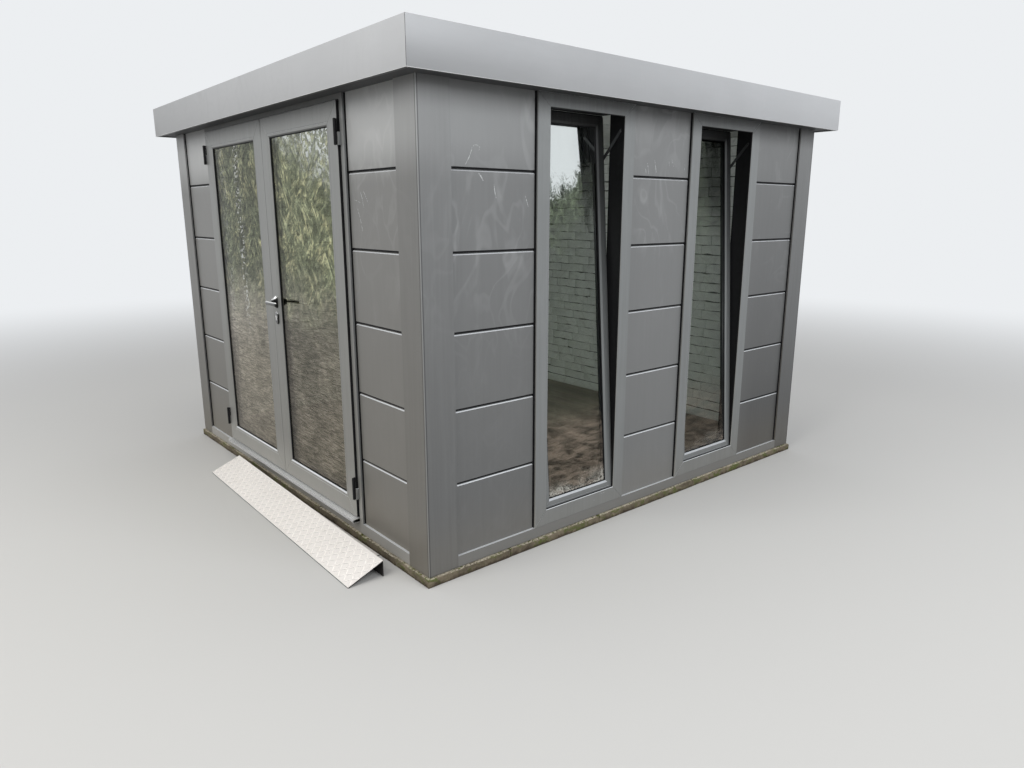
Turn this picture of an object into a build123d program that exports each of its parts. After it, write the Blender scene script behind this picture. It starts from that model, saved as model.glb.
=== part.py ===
from build123d import *
import os
from math import cos, radians, sin

# Garden office pod: a square steel garden house with grooved sandwich panels between corner posts,
# a flat roof behind a tall plain fascia, glazed double doors and two tall tilted windows.
# Millimetres. +Z is up, the door face looks along -Y and the window face along +X.
# The origin is on the ground, in the middle of the plinth's underside.

# Plan and heights
BODY_WIDTH = 3100          # outside of the corner posts, along the door face
BODY_DEPTH = 3100          # outside of the corner posts, along the window face
WALL_THICKNESS = 60        # post face to inside face
COURSE_HEIGHT = 350        # one board of the grooved panels
COURSES = 6
PLINTH_HEIGHT = 45
PLINTH_LEDGE = 15          # how far the plinth shows outside the walls
PLINTH_EDGE = 3            # worn upper edge of the plinth
RAIL_HEIGHT = 55           # base rail under the panels
POST_WIDTH = 165
POST_RADIUS = 4
SEAT_GAP = 0.3             # hair gap where one piece sits in or against another

# Grooved panels
PANEL_RECESS = 14          # panel face behind the post face
GROOVE_HEIGHT = 9          # deep part of the groove between two boards
GROOVE_DEPTH = 8
GROOVE_LIP = 8             # sloping lower lip of the groove
SHADOW_GAP = 7             # dark upright joint beside each panel
SHADOW_DEPTH = 14
PLAIN_WALL_BAYS = 5        # bays on the back and left walls

# Roof
OVERHANG = 105
FASCIA_HEIGHT = 185
FASCIA_THICKNESS = 20
FASCIA_DROP = 5            # fascia below the soffit
FASCIA_FOLD = 3            # folded lip along the fascia's edges
DECK_THICKNESS = 90
RIB_HEIGHT = 22            # ribs of the roof sheet, from front to back
RIB_FOOT = 62
RIB_CREST = 26
RIB_PITCH = 235

# Windows
WINDOW_WIDTH = 662
WINDOW_PITCH = 1144        # middle of one window to middle of the next
CASING_SIDE = 78
CASING_SILL = 80
CASING_HEAD = 63
CASING_PROUD = 2
CASING_FLANGE = 12         # front web that the sash closes against
CASING_REBATE = 18         # widening of the opening behind that web
SASH_LAP = 9               # sash behind the web at the sides
SASH_SILL_LAP = 7
SASH_HEAD_LAP = 16
SASH_STILE = 50
SASH_THICKNESS = 40
SASH_TILT = 4.27           # degrees, leaning into the room at the top
STAY_WIDTH = 16
STAY_THICKNESS = 3
STAY_PIVOT_RADIUS = 5.5
STAY_DROP = 215            # stay's pivot on the sash, below the sash's top
STAY_LENGTH = 190
STAY_ANGLE = 49            # degrees above level

# Doors
DOOR_WIDTH = 1884          # outside of the door frame
JAMB_WIDTH = 33
HEAD_HEIGHT = 25
STOP_WIDTH = 12
LEAF_THICKNESS = 46
LEAF_STILE = 105
LEAF_BEVEL = 4
LEAF_PROUD = 13            # leaf's face in front of its frame
LEAF_CLEARANCE = 5         # leaf to jamb, head and stop
LEAF_FLOOR_GAP = 6         # leaf above the threshold
MEETING_GAP = 8
THRESHOLD_HEIGHT = 25
THRESHOLD_NOSE = 38        # how far the threshold stands out of the wall
THRESHOLD_FALL = 6
NOSE_THICKNESS = 12

# Glass
PANE_THICKNESS = 20
PANE_RECESS = 12

# Hinges
HINGE_RADIUS = 10
HINGE_LENGTH = 118
HINGE_PIN_RADIUS = 5
HINGE_FACE_GAP = 1         # barrel in front of the door's face
HINGE_STRAP = 14
HINGE_STRAP_THICKNESS = 3
HINGE_LOW = 160            # middle of the lower hinge above the leaf's foot
HINGE_HIGH = 138           # middle of the upper hinge below the leaf's top

# Lever handle
LEVER_HEIGHT = 1043        # above the leaf's foot
LEVER_SETBACK = 58         # from the leaf's meeting edge
LEVER_LENGTH = 134
LEVER_BAR_HEIGHT = 20
LEVER_BAR_DEPTH = 14
LEVER_REACH = 60           # middle of the bar in front of the leaf
NECK_RADIUS = 9
SPINDLE_RADIUS = 4.5
SPINDLE_HOLE_RADIUS = 6
PLATE_WIDTH = 33
PLATE_LENGTH = 66
PLATE_THICKNESS = 8
KEY_DROP = 92
KEY_RADIUS = 8.5
KEY_SLOT = 10
KEY_LENGTH = 25

# Entry ramp of tread plate
RAMP_LENGTH = 1955
RAMP_OFFSET = 350          # middle of the ramp to the right of the doors' middle
RAMP_SKEW = 1.1            # degrees, as the ramp lies a little askew
RAMP_INNER = 89            # upper edge in front of the wall, at the ramp's middle
RAMP_OUTER = 274           # lower edge in front of the wall
RAMP_RISE = 81
RAMP_THICKNESS = 4
RAMP_LIP = 12              # solid nose at the ramp's lower edge
TIE_INSET = 200            # foot strip to the plinth, short of the ramp's ends

# Places that follow from the sizes above
half_width = BODY_WIDTH / 2
half_depth = BODY_DEPTH / 2
base_z = PLINTH_HEIGHT
rail_top = base_z + RAIL_HEIGHT
soffit_z = rail_top + COURSES * COURSE_HEIGHT
panel_middle = (rail_top + soffit_z) / 2
panel_height = soffit_z - rail_top

# Wall faces: x runs to the right as seen from outside, y runs up and the normal looks outward
FRONT = Plane(origin=(0, -half_depth, 0), x_dir=(1, 0, 0), z_dir=(0, -1, 0))
RIGHT = Plane(origin=(half_width, 0, 0), x_dir=(0, 1, 0), z_dir=(1, 0, 0))
BACK = Plane(origin=(0, half_depth, 0), x_dir=(-1, 0, 0), z_dir=(0, 1, 0))
LEFT = Plane(origin=(-half_width, 0, 0), x_dir=(0, -1, 0), z_dir=(-1, 0, 0))

os.makedirs("parts", exist_ok=True)


def keep(builder, name):
    """Label a finished piece and write it as one STEP file."""
    builder.part.label = name
    export_step(builder.part, f"parts/{name}.step")


def window_middle(side):
    """Place of a window along the window face, -1 for the near one and 1 for the far one."""
    return side * WINDOW_PITCH / 2


def make_plinth():
    with BuildPart() as plinth:
        with BuildSketch():
            Rectangle(BODY_WIDTH + 2 * PLINTH_LEDGE, BODY_DEPTH + 2 * PLINTH_LEDGE)
        extrude(amount=PLINTH_HEIGHT)
        fillet(plinth.edges().group_by(Axis.Z)[-1], radius=PLINTH_EDGE)
    keep(plinth, "plinth")


def make_floor():
    with BuildPart() as floor:
        with BuildSketch(Plane.XY.offset(base_z)):
            Rectangle(BODY_WIDTH - 2 * WALL_THICKNESS, BODY_DEPTH - 2 * WALL_THICKNESS)
        extrude(amount=RAIL_HEIGHT)
    keep(floor, "floor_deck")


def make_base_rail(name, face, length):
    with BuildPart() as rail:
        with BuildSketch(face):
            with Locations((0, base_z + RAIL_HEIGHT / 2)):
                Rectangle(length - 2 * POST_WIDTH, RAIL_HEIGHT)
        extrude(amount=-WALL_THICKNESS)
    keep(rail, name)


def make_corner_post(name, side_x, side_y):
    corner = (side_x * half_width, side_y * half_depth, base_z)
    with BuildPart() as post:
        with BuildSketch(Plane.XY.offset(base_z)):
            with Locations((side_x * (half_width - POST_WIDTH / 2), side_y * (half_depth - POST_WIDTH / 2))):
                Rectangle(POST_WIDTH, POST_WIDTH)
            room = POST_WIDTH / 2 + WALL_THICKNESS
            with Locations((side_x * (half_width - room), side_y * (half_depth - room))):
                Rectangle(POST_WIDTH, POST_WIDTH, mode=Mode.SUBTRACT)
        extrude(amount=soffit_z - base_z)
        outer_edge = post.edges().filter_by(Axis.Z).sort_by_distance(corner)[0]
        fillet(outer_edge, radius=POST_RADIUS)
    keep(post, name)


def make_panel_wall(name, face, left, right, bays=1):
    """Grooved wall between two uprights, with a dark joint at both ends of each bay."""
    middle = (left + right) / 2
    width = right - left
    bay = width / bays
    joints = [left + SHADOW_GAP / 2, right - SHADOW_GAP / 2]
    joints += [left + bay * n for n in range(1, bays)]
    with BuildPart() as panel:
        with BuildSketch(face.offset(-PANEL_RECESS)):
            with Locations((middle, panel_middle)):
                Rectangle(width, panel_height)
        extrude(amount=-(WALL_THICKNESS - PANEL_RECESS))
        # Section across the wall, x outward and y up, with a square upper edge and a sloping lower lip
        end = face.offset(-PANEL_RECESS).origin + face.x_dir * right
        section = Plane(origin=end, x_dir=face.z_dir, z_dir=-face.x_dir)
        groove_top = (GROOVE_HEIGHT + GROOVE_LIP) / 2
        with BuildSketch(section):
            for n in range(1, COURSES):
                line_z = rail_top + n * COURSE_HEIGHT
                with BuildLine():
                    Polyline(
                        (0, line_z + groove_top),
                        (-GROOVE_DEPTH, line_z + groove_top),
                        (-GROOVE_DEPTH, line_z + groove_top - GROOVE_HEIGHT),
                        (0, line_z - groove_top),
                        close=True,
                    )
                make_face()
        extrude(amount=width, mode=Mode.SUBTRACT)
        with BuildSketch(face.offset(-PANEL_RECESS)):
            with Locations([(place, panel_middle) for place in joints]):
                Rectangle(SHADOW_GAP, panel_height)
        extrude(amount=-SHADOW_DEPTH, mode=Mode.SUBTRACT)
    keep(panel, name)


# Window opening in the casing's front web, and the sash behind it
opening_width = WINDOW_WIDTH - 2 * CASING_SIDE
opening_low = rail_top + CASING_SILL
opening_high = soffit_z - CASING_HEAD
opening_height = opening_high - opening_low
sash_width = opening_width + 2 * SASH_LAP
sash_height = opening_height + SASH_SILL_LAP + SASH_HEAD_LAP
sash_foot_z = opening_low - SASH_SILL_LAP
sash_face_x = half_width + CASING_PROUD - CASING_FLANGE - SEAT_GAP


def sash_plane(middle):
    """Outer face of a tilted sash, with its origin at the middle of the sash's foot."""
    lean = radians(SASH_TILT)
    return Plane(origin=(sash_face_x, middle, sash_foot_z), x_dir=(0, 1, 0), z_dir=(cos(lean), 0, sin(lean)))


def make_window_casing(name, middle):
    with BuildPart() as casing:
        with BuildSketch(RIGHT.offset(CASING_PROUD)):
            with Locations((middle, panel_middle)):
                Rectangle(WINDOW_WIDTH, panel_height)
            with Locations((middle, (opening_low + opening_high) / 2)):
                Rectangle(opening_width, opening_height, mode=Mode.SUBTRACT)
        extrude(amount=-CASING_FLANGE)
        with BuildSketch(RIGHT.offset(CASING_PROUD - CASING_FLANGE)):
            with Locations((middle, panel_middle)):
                Rectangle(WINDOW_WIDTH, panel_height)
            with Locations((middle, (opening_low + opening_high) / 2)):
                Rectangle(
                    opening_width + 2 * CASING_REBATE, opening_height + 2 * CASING_REBATE, mode=Mode.SUBTRACT
                )
        extrude(amount=-(WALL_THICKNESS + CASING_PROUD - CASING_FLANGE))
    keep(casing, name)


def make_window_sash(name, middle):
    face = sash_plane(middle)
    with BuildPart() as sash:
        with BuildSketch(face):
            with Locations((0, sash_height / 2)):
                Rectangle(sash_width, sash_height)
                Rectangle(sash_width - 2 * SASH_STILE, sash_height - 2 * SASH_STILE, mode=Mode.SUBTRACT)
        extrude(amount=-SASH_THICKNESS)
    keep(sash, name)


def make_window_glass(name, middle):
    with BuildPart() as glass:
        with BuildSketch(sash_plane(middle).offset(-PANE_RECESS)):
            with Locations((0, sash_height / 2)):
                Rectangle(
                    sash_width - 2 * SASH_STILE - 2 * SEAT_GAP,
                    sash_height - 2 * SASH_STILE - 2 * SEAT_GAP,
                )
        extrude(amount=-PANE_THICKNESS)
    keep(glass, name)


def make_window_stay(name, middle):
    """Flat arm beside the far edge of the sash, from the sash up to the casing."""
    side_gap = CASING_REBATE - SASH_LAP
    sash_side_y = middle + sash_width / 2
    lean = radians(SASH_TILT)
    along = sash_height - STAY_DROP
    inward = SASH_THICKNESS / 2
    low_x = sash_face_x - along * sin(lean) - inward * cos(lean)
    low_z = sash_foot_z + along * cos(lean) - inward * sin(lean)
    rise = radians(STAY_ANGLE)
    high_x = low_x + STAY_LENGTH * cos(rise)
    high_z = low_z + STAY_LENGTH * sin(rise)
    arm_y = sash_side_y + (side_gap - STAY_THICKNESS) / 2
    arm_plane = Plane(origin=(0, arm_y, 0), x_dir=(1, 0, 0), z_dir=(0, -1, 0))
    with BuildPart() as stay:
        with BuildSketch(arm_plane):
            with Locations(((low_x + high_x) / 2, (low_z + high_z) / 2)):
                SlotCenterToCenter(STAY_LENGTH, STAY_WIDTH, rotation=STAY_ANGLE)
        extrude(amount=-STAY_THICKNESS)
        # Pivot boss on the sash and the one on the casing
        boss = (side_gap - STAY_THICKNESS) / 2 - SEAT_GAP
        with BuildSketch(arm_plane):
            with Locations((low_x, low_z)):
                Circle(STAY_PIVOT_RADIUS)
        extrude(amount=boss)
        with BuildSketch(arm_plane.offset(-STAY_THICKNESS)):
            with Locations((high_x, high_z)):
                Circle(STAY_PIVOT_RADIUS)
        extrude(amount=-boss)
    keep(stay, name)


# Door opening, leaves and hinge line
door_opening = DOOR_WIDTH - 2 * JAMB_WIDTH
head_z = soffit_z - HEAD_HEIGHT
threshold_top = rail_top + THRESHOLD_HEIGHT
leaf_low = threshold_top + LEAF_FLOOR_GAP
leaf_high = head_z - LEAF_CLEARANCE
leaf_height = leaf_high - leaf_low
leaf_middle_z = (leaf_low + leaf_high) / 2
leaf_width = (door_opening - MEETING_GAP) / 2 - LEAF_CLEARANCE
leaf_middle_x = MEETING_GAP / 2 + leaf_width / 2
hinge_x = door_opening / 2 - LEAF_CLEARANCE / 2
hinge_y = -(half_depth + LEAF_PROUD + HINGE_FACE_GAP + HINGE_RADIUS)
leaf_plane = FRONT.offset(LEAF_PROUD)
leaf_back = leaf_plane.offset(-LEAF_THICKNESS)
lever_x = MEETING_GAP / 2 + LEVER_SETBACK
lever_z = leaf_low + LEVER_HEIGHT


def make_door_frame():
    stop_front = LEAF_THICKNESS - LEAF_PROUD + LEAF_CLEARANCE
    with BuildPart() as frame:
        with BuildSketch(FRONT):
            with Locations((0, panel_middle)):
                Rectangle(DOOR_WIDTH, panel_height)
            with Locations((0, (rail_top + head_z) / 2)):
                Rectangle(door_opening, head_z - rail_top, mode=Mode.SUBTRACT)
        extrude(amount=-WALL_THICKNESS)
        with BuildSketch(FRONT.offset(-stop_front)):
            with Locations((0, (threshold_top + head_z) / 2)):
                Rectangle(door_opening, head_z - threshold_top)
            with Locations((0, (threshold_top + head_z - STOP_WIDTH) / 2)):
                Rectangle(
                    door_opening - 2 * STOP_WIDTH, head_z - STOP_WIDTH - threshold_top, mode=Mode.SUBTRACT
                )
        extrude(amount=-(WALL_THICKNESS - stop_front))
    keep(frame, "door_frame")


def make_threshold():
    inside_y = -half_depth + WALL_THICKNESS
    nose_y = -half_depth - THRESHOLD_NOSE
    nose_z = threshold_top - THRESHOLD_FALL
    with BuildPart() as threshold:
        with BuildSketch(Plane.YZ):
            with BuildLine():
                Polyline(
                    (inside_y, rail_top),
                    (inside_y, threshold_top),
                    (-half_depth, threshold_top),
                    (nose_y, nose_z),
                    (nose_y, nose_z - NOSE_THICKNESS),
                    (-half_depth, nose_z - NOSE_THICKNESS),
                    (-half_depth, rail_top),
                    close=True,
                )
            make_face()
        extrude(amount=door_opening / 2, both=True)
    keep(threshold, "threshold")


def make_door_leaf(name, side, lever=False):
    with BuildPart() as leaf:
        with BuildSketch(leaf_plane):
            with Locations((side * leaf_middle_x, leaf_middle_z)):
                Rectangle(leaf_width, leaf_height)
                Rectangle(leaf_width - 2 * LEAF_STILE, leaf_height - 2 * LEAF_STILE, mode=Mode.SUBTRACT)
        extrude(amount=-LEAF_THICKNESS)
        glazing_edges = leaf.faces().sort_by(Axis.Y)[0].inner_wires()[0].edges()
        chamfer(glazing_edges, length=LEAF_BEVEL)
        if lever:
            with BuildSketch(leaf_plane):
                with Locations((lever_x, lever_z)):
                    Circle(SPINDLE_HOLE_RADIUS)
            extrude(amount=-LEAF_THICKNESS, mode=Mode.SUBTRACT)
    keep(leaf, name)


def make_door_glass(name, side):
    with BuildPart() as glass:
        with BuildSketch(leaf_plane.offset(-PANE_RECESS)):
            with Locations((side * leaf_middle_x, leaf_middle_z)):
                Rectangle(
                    leaf_width - 2 * LEAF_STILE - 2 * SEAT_GAP,
                    leaf_height - 2 * LEAF_STILE - 2 * SEAT_GAP,
                )
        extrude(amount=-PANE_THICKNESS)
    keep(glass, name)


def hinge_axes(side):
    """Feet of a leaf's two hinge barrels, one above the other on its hinge line."""
    middles = (leaf_low + HINGE_LOW, leaf_high - HINGE_HIGH)
    return [(side * hinge_x, hinge_y, middle - HINGE_LENGTH / 2) for middle in middles]


def make_hinge_pins(name, side):
    """Lower half barrels on the jamb, each with a strap and the pin that carries the leaf."""
    half = HINGE_LENGTH / 2
    strap_depth = LEAF_PROUD + HINGE_STRAP_THICKNESS
    with BuildPart() as pins:
        for x, y, z in hinge_axes(side):
            with BuildSketch(Plane.XY.offset(z)):
                with Locations((x, y)):
                    Circle(HINGE_RADIUS)
                with Locations((x + side * HINGE_STRAP / 2, -half_depth - strap_depth / 2)):
                    Rectangle(HINGE_STRAP, strap_depth)
            extrude(amount=half - SEAT_GAP)
            with BuildSketch(Plane.XY.offset(z)):
                with Locations((x, y)):
                    Circle(HINGE_PIN_RADIUS)
            extrude(amount=HINGE_LENGTH)
    keep(pins, name)


def make_hinge_knuckles(name, side):
    """Upper half barrels on the leaf, each with a strap along the leaf's face."""
    half = HINGE_LENGTH / 2
    with BuildPart() as knuckles:
        for x, y, z in hinge_axes(side):
            with BuildSketch(Plane.XY.offset(z + half)):
                with Locations((x, y)):
                    Circle(HINGE_RADIUS)
                with Locations((x - side * HINGE_STRAP / 2, -half_depth - LEAF_PROUD - HINGE_STRAP_THICKNESS / 2)):
                    Rectangle(HINGE_STRAP, HINGE_STRAP_THICKNESS)
                with Locations((x, y)):
                    Circle(HINGE_PIN_RADIUS + SEAT_GAP, mode=Mode.SUBTRACT)
            extrude(amount=half)
    keep(knuckles, name)


def make_lever():
    """Outer and inner lever on one spindle."""
    bar_middle = lever_x + LEVER_LENGTH / 2 - LEVER_BAR_HEIGHT / 2
    with BuildPart() as lever:
        for face, outward in ((leaf_plane, 1), (leaf_back, -1)):
            with BuildSketch(face):
                with Locations((lever_x, lever_z)):
                    Circle(NECK_RADIUS)
            extrude(amount=outward * LEVER_REACH)
            with BuildSketch(face.offset(outward * (LEVER_REACH - LEVER_BAR_DEPTH / 2))):
                with Locations((bar_middle, lever_z)):
                    SlotOverall(LEVER_LENGTH, LEVER_BAR_HEIGHT)
            extrude(amount=outward * LEVER_BAR_DEPTH)
        with BuildSketch(leaf_plane):
            with Locations((lever_x, lever_z)):
                Circle(SPINDLE_RADIUS)
        extrude(amount=-LEAF_THICKNESS)
    keep(lever, "door_lever")


def make_handle_plates():
    """Oval rose round the lever and oval key plate below it, on both faces of the leaf."""
    with BuildPart() as plates:
        for face, outward in ((leaf_plane, 1), (leaf_back, -1)):
            with BuildSketch(face):
                with Locations((lever_x, lever_z), (lever_x, lever_z - KEY_DROP)):
                    SlotOverall(PLATE_LENGTH, PLATE_WIDTH, rotation=90)
                with Locations((lever_x, lever_z)):
                    Circle(NECK_RADIUS + SEAT_GAP, mode=Mode.SUBTRACT)
                with Locations((lever_x, lever_z - KEY_DROP + KEY_LENGTH / 2 - KEY_RADIUS)):
                    Circle(KEY_RADIUS, mode=Mode.SUBTRACT)
                with Locations((lever_x, lever_z - KEY_DROP)):
                    SlotOverall(KEY_LENGTH, KEY_SLOT, rotation=90, mode=Mode.SUBTRACT)
            extrude(amount=outward * PLATE_THICKNESS)
    keep(plates, "handle_plates")


def make_ramp():
    """Bent tread plate on the ground, with a foot strip that meets the plinth."""
    turn = radians(RAMP_SKEW)
    section = Plane(
        origin=(RAMP_OFFSET, -half_depth, 0), x_dir=(sin(turn), cos(turn), 0), z_dir=(cos(turn), -sin(turn), 0)
    )
    slope = (RAMP_RISE - RAMP_THICKNESS) / (RAMP_OUTER - RAMP_INNER)
    lip = RAMP_LIP - RAMP_OUTER
    web = -RAMP_INNER - RAMP_THICKNESS
    with BuildPart() as ramp:
        with BuildSketch(section):
            with BuildLine():
                Polyline(
                    (-RAMP_OUTER, 0),
                    (-RAMP_OUTER, RAMP_THICKNESS),
                    (-RAMP_INNER, RAMP_RISE),
                    (-RAMP_INNER, 0),
                    (web, 0),
                    (web, RAMP_RISE - RAMP_THICKNESS * (1 + slope)),
                    (lip, slope * RAMP_LIP),
                    (lip, 0),
                    close=True,
                )
            make_face()
        extrude(amount=RAMP_LENGTH / 2, both=True)
        plinth_y = -half_depth - PLINTH_LEDGE
        reach = RAMP_LENGTH / 2 - TIE_INSET
        left, right = (section.from_local_coords((web + RAMP_THICKNESS / 2, 0, end * reach)) for end in (-1, 1))
        with BuildSketch():
            with BuildLine():
                Polyline(
                    (left.X, left.Y), (right.X, right.Y), (right.X, plinth_y), (left.X, plinth_y), close=True
                )
            make_face()
        extrude(amount=RAMP_THICKNESS)
    keep(ramp, "entry_ramp")


def make_roof_deck():
    """Slab of the roof with the ribs of its sheet, inside the fascia."""
    inside = OVERHANG - FASCIA_THICKNESS
    run = BODY_DEPTH + 2 * inside
    deck_top = soffit_z + DECK_THICKNESS
    ribs = int((BODY_WIDTH + 2 * inside - RIB_FOOT) / RIB_PITCH) + 1
    with BuildPart() as deck:
        with BuildSketch(Plane.XY.offset(soffit_z)):
            Rectangle(BODY_WIDTH + 2 * inside, run)
        extrude(amount=DECK_THICKNESS)
        with BuildSketch(Plane.XZ):
            for n in range(ribs):
                middle = (n - (ribs - 1) / 2) * RIB_PITCH
                with BuildLine():
                    Polyline(
                        (middle - RIB_FOOT / 2, deck_top),
                        (middle - RIB_CREST / 2, deck_top + RIB_HEIGHT),
                        (middle + RIB_CREST / 2, deck_top + RIB_HEIGHT),
                        (middle + RIB_FOOT / 2, deck_top),
                        close=True,
                    )
                make_face()
        extrude(amount=run / 2, both=True)
    keep(deck, "roof_deck")


def make_fascia(name, face, length):
    """Mitred board along one side of the roof, with a folded lip at its lower and upper edge."""
    outer = length / 2 + OVERHANG
    inner = outer - FASCIA_THICKNESS
    board = face.offset(OVERHANG)
    low = soffit_z - FASCIA_DROP
    plan = Plane(origin=board.origin + Vector(0, 0, low), x_dir=board.x_dir, z_dir=(0, 0, 1))
    with BuildPart() as fascia:
        with BuildSketch(plan):
            with BuildLine():
                Polyline(
                    (-outer, 0), (outer, 0), (inner, FASCIA_THICKNESS), (-inner, FASCIA_THICKNESS), close=True
                )
            make_face()
        extrude(amount=FASCIA_HEIGHT)
        outer_face = fascia.faces().sort_by_distance(board.origin + Vector(0, 0, low + FASCIA_HEIGHT / 2))[0]
        long_edges = outer_face.edges().filter_by(Axis(board.origin, board.x_dir))
        chamfer(long_edges, length=FASCIA_FOLD)
    keep(fascia, name)


make_plinth()
make_floor()
for name, face, length in (
    ("base_rail_front", FRONT, BODY_WIDTH),
    ("base_rail_right", RIGHT, BODY_DEPTH),
    ("base_rail_back", BACK, BODY_WIDTH),
    ("base_rail_left", LEFT, BODY_DEPTH),
):
    make_base_rail(name, face, length)
for name, side_x, side_y in (
    ("corner_post_front_right", 1, -1),
    ("corner_post_front_left", -1, -1),
    ("corner_post_back_right", 1, 1),
    ("corner_post_back_left", -1, 1),
):
    make_corner_post(name, side_x, side_y)

# Front wall: a grooved panel on each side of the door frame
front_edge = half_width - POST_WIDTH
make_panel_wall("front_panel_left", FRONT, -front_edge, -DOOR_WIDTH / 2)
make_panel_wall("front_panel_right", FRONT, DOOR_WIDTH / 2, front_edge)

# Window wall: panel, window, panel, window, panel from the near corner to the far one
side_edge = half_depth - POST_WIDTH
near_low, near_high = (window_middle(-1) + end * WINDOW_WIDTH / 2 for end in (-1, 1))
far_low, far_high = (window_middle(1) + end * WINDOW_WIDTH / 2 for end in (-1, 1))
make_panel_wall("side_panel_near", RIGHT, -side_edge, near_low)
make_panel_wall("side_panel_middle", RIGHT, near_high, far_low)
make_panel_wall("side_panel_far", RIGHT, far_high, side_edge)
make_panel_wall("back_wall", BACK, -front_edge, front_edge, PLAIN_WALL_BAYS)
make_panel_wall("left_wall", LEFT, -side_edge, side_edge, PLAIN_WALL_BAYS)

for place, side in (("near", -1), ("far", 1)):
    make_window_casing(f"window_casing_{place}", window_middle(side))
    make_window_sash(f"window_sash_{place}", window_middle(side))
    make_window_glass(f"window_glass_{place}", window_middle(side))
    make_window_stay(f"window_stay_{place}", window_middle(side))

make_door_frame()
make_threshold()
for place, side in (("left", -1), ("right", 1)):
    make_door_leaf(f"door_leaf_{place}", side, lever=side > 0)
    make_door_glass(f"door_glass_{place}", side)
    make_hinge_pins(f"hinge_pins_{place}", side)
    make_hinge_knuckles(f"hinge_knuckles_{place}", side)
make_lever()
make_handle_plates()
make_ramp()

make_roof_deck()
for name, face, length in (
    ("fascia_front", FRONT, BODY_WIDTH),
    ("fascia_right", RIGHT, BODY_DEPTH),
    ("fascia_back", BACK, BODY_WIDTH),
    ("fascia_left", LEFT, BODY_DEPTH),
):
    make_fascia(name, face, length)
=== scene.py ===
import math
import random

import bmesh
import bpy
from bpy.props import FloatProperty, FloatVectorProperty, IntProperty, PointerProperty
from mathutils import Matrix, Vector


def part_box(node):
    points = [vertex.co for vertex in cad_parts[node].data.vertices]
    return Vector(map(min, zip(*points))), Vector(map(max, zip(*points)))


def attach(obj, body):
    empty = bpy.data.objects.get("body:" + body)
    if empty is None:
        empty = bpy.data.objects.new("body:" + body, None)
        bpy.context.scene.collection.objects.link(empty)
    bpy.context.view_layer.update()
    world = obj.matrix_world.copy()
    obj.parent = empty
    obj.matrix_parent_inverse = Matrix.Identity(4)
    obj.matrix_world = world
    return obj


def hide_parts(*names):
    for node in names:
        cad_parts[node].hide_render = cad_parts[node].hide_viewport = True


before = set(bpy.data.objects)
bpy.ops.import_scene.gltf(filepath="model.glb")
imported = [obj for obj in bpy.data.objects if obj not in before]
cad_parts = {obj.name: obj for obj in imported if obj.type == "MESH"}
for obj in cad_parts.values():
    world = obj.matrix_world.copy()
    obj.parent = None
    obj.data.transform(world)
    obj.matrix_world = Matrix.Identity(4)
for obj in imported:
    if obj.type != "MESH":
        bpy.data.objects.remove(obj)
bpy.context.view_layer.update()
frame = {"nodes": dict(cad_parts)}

bl_info = {
    "name": "Garden Office Pod",
    "version": (1, 0, 0),
    "blender": (4, 5, 0),
    "location": "View3D > Sidebar > Garden Pod",
    "description": "Dresses the packed frame of a flat-roofed steel garden office",
    "category": "Object",
}

BODY = "pod"
NODES = frame["nodes"]

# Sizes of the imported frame, in metres
HALF = 1.55                 # middle to the outer face of the corner posts
INSIDE = 1.49               # middle to the inner face of the walls
ROOF_HALF = 1.655
RAIL_TOP, SOFFIT = 0.1, 2.2
FASCIA_LOW, FASCIA_HIGH, DECK_TOP = 2.195, 2.38, 2.29
PLINTH_HALF, PLINTH_TOP = 1.565, 0.045
GROOVE_PITCH = 0.35
PANEL_SUNK, CASING_PROUD = 0.014, 0.002
WINDOWS = {"near": -0.572, "far": 0.572}
CASING_HALF, CASING_SIDE, CASING_SILL, CASING_HEAD = 0.331, 0.078, 0.08, 0.063
REBATE_HALF, REBATE_LOW, REBATE_HIGH = 0.271, 0.162, 2.155
SASH_FACE, SASH_FOOT, SASH_HALF, SASH_TALL = 1.5397, 0.173, 0.262, 1.98
SASH_STILE, SASH_DEEP, SASH_LEAN = 0.05, 0.04, math.radians(4.27)
LEAF_IN, LEAF_OUT, LEAF_LOW, LEAF_HIGH = 0.004, 0.904, 0.131, 2.17
LEAF_STILE, LEAF_DEEP, LEAF_PROUD = 0.105, 0.046, 0.013
HINGE_X, HINGE_Y, HINGE_HALF = 0.9065, -1.574, 0.059
HINGE_MIDDLES = (0.291, 2.032)
LEVER_X, LEVER_Z, KEY_Z = 0.062, 1.174, 1.082
JAMB_IN, HEAD_Z, SILL_TOP = 0.909, 2.175, 0.125
THRESHOLD_HALF, THRESHOLD_LIP = 0.907, -1.588
RAMP_HALF, RAMP_TURN = 0.9775, math.radians(1.1)
RAMP_FOOT, RAMP_RUN = (0.3447, -1.824, 0.004), Vector((0.0036, 0.185, 0.077))
GLASS_FACE, GLASS_BACK = -0.012, -0.032


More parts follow.
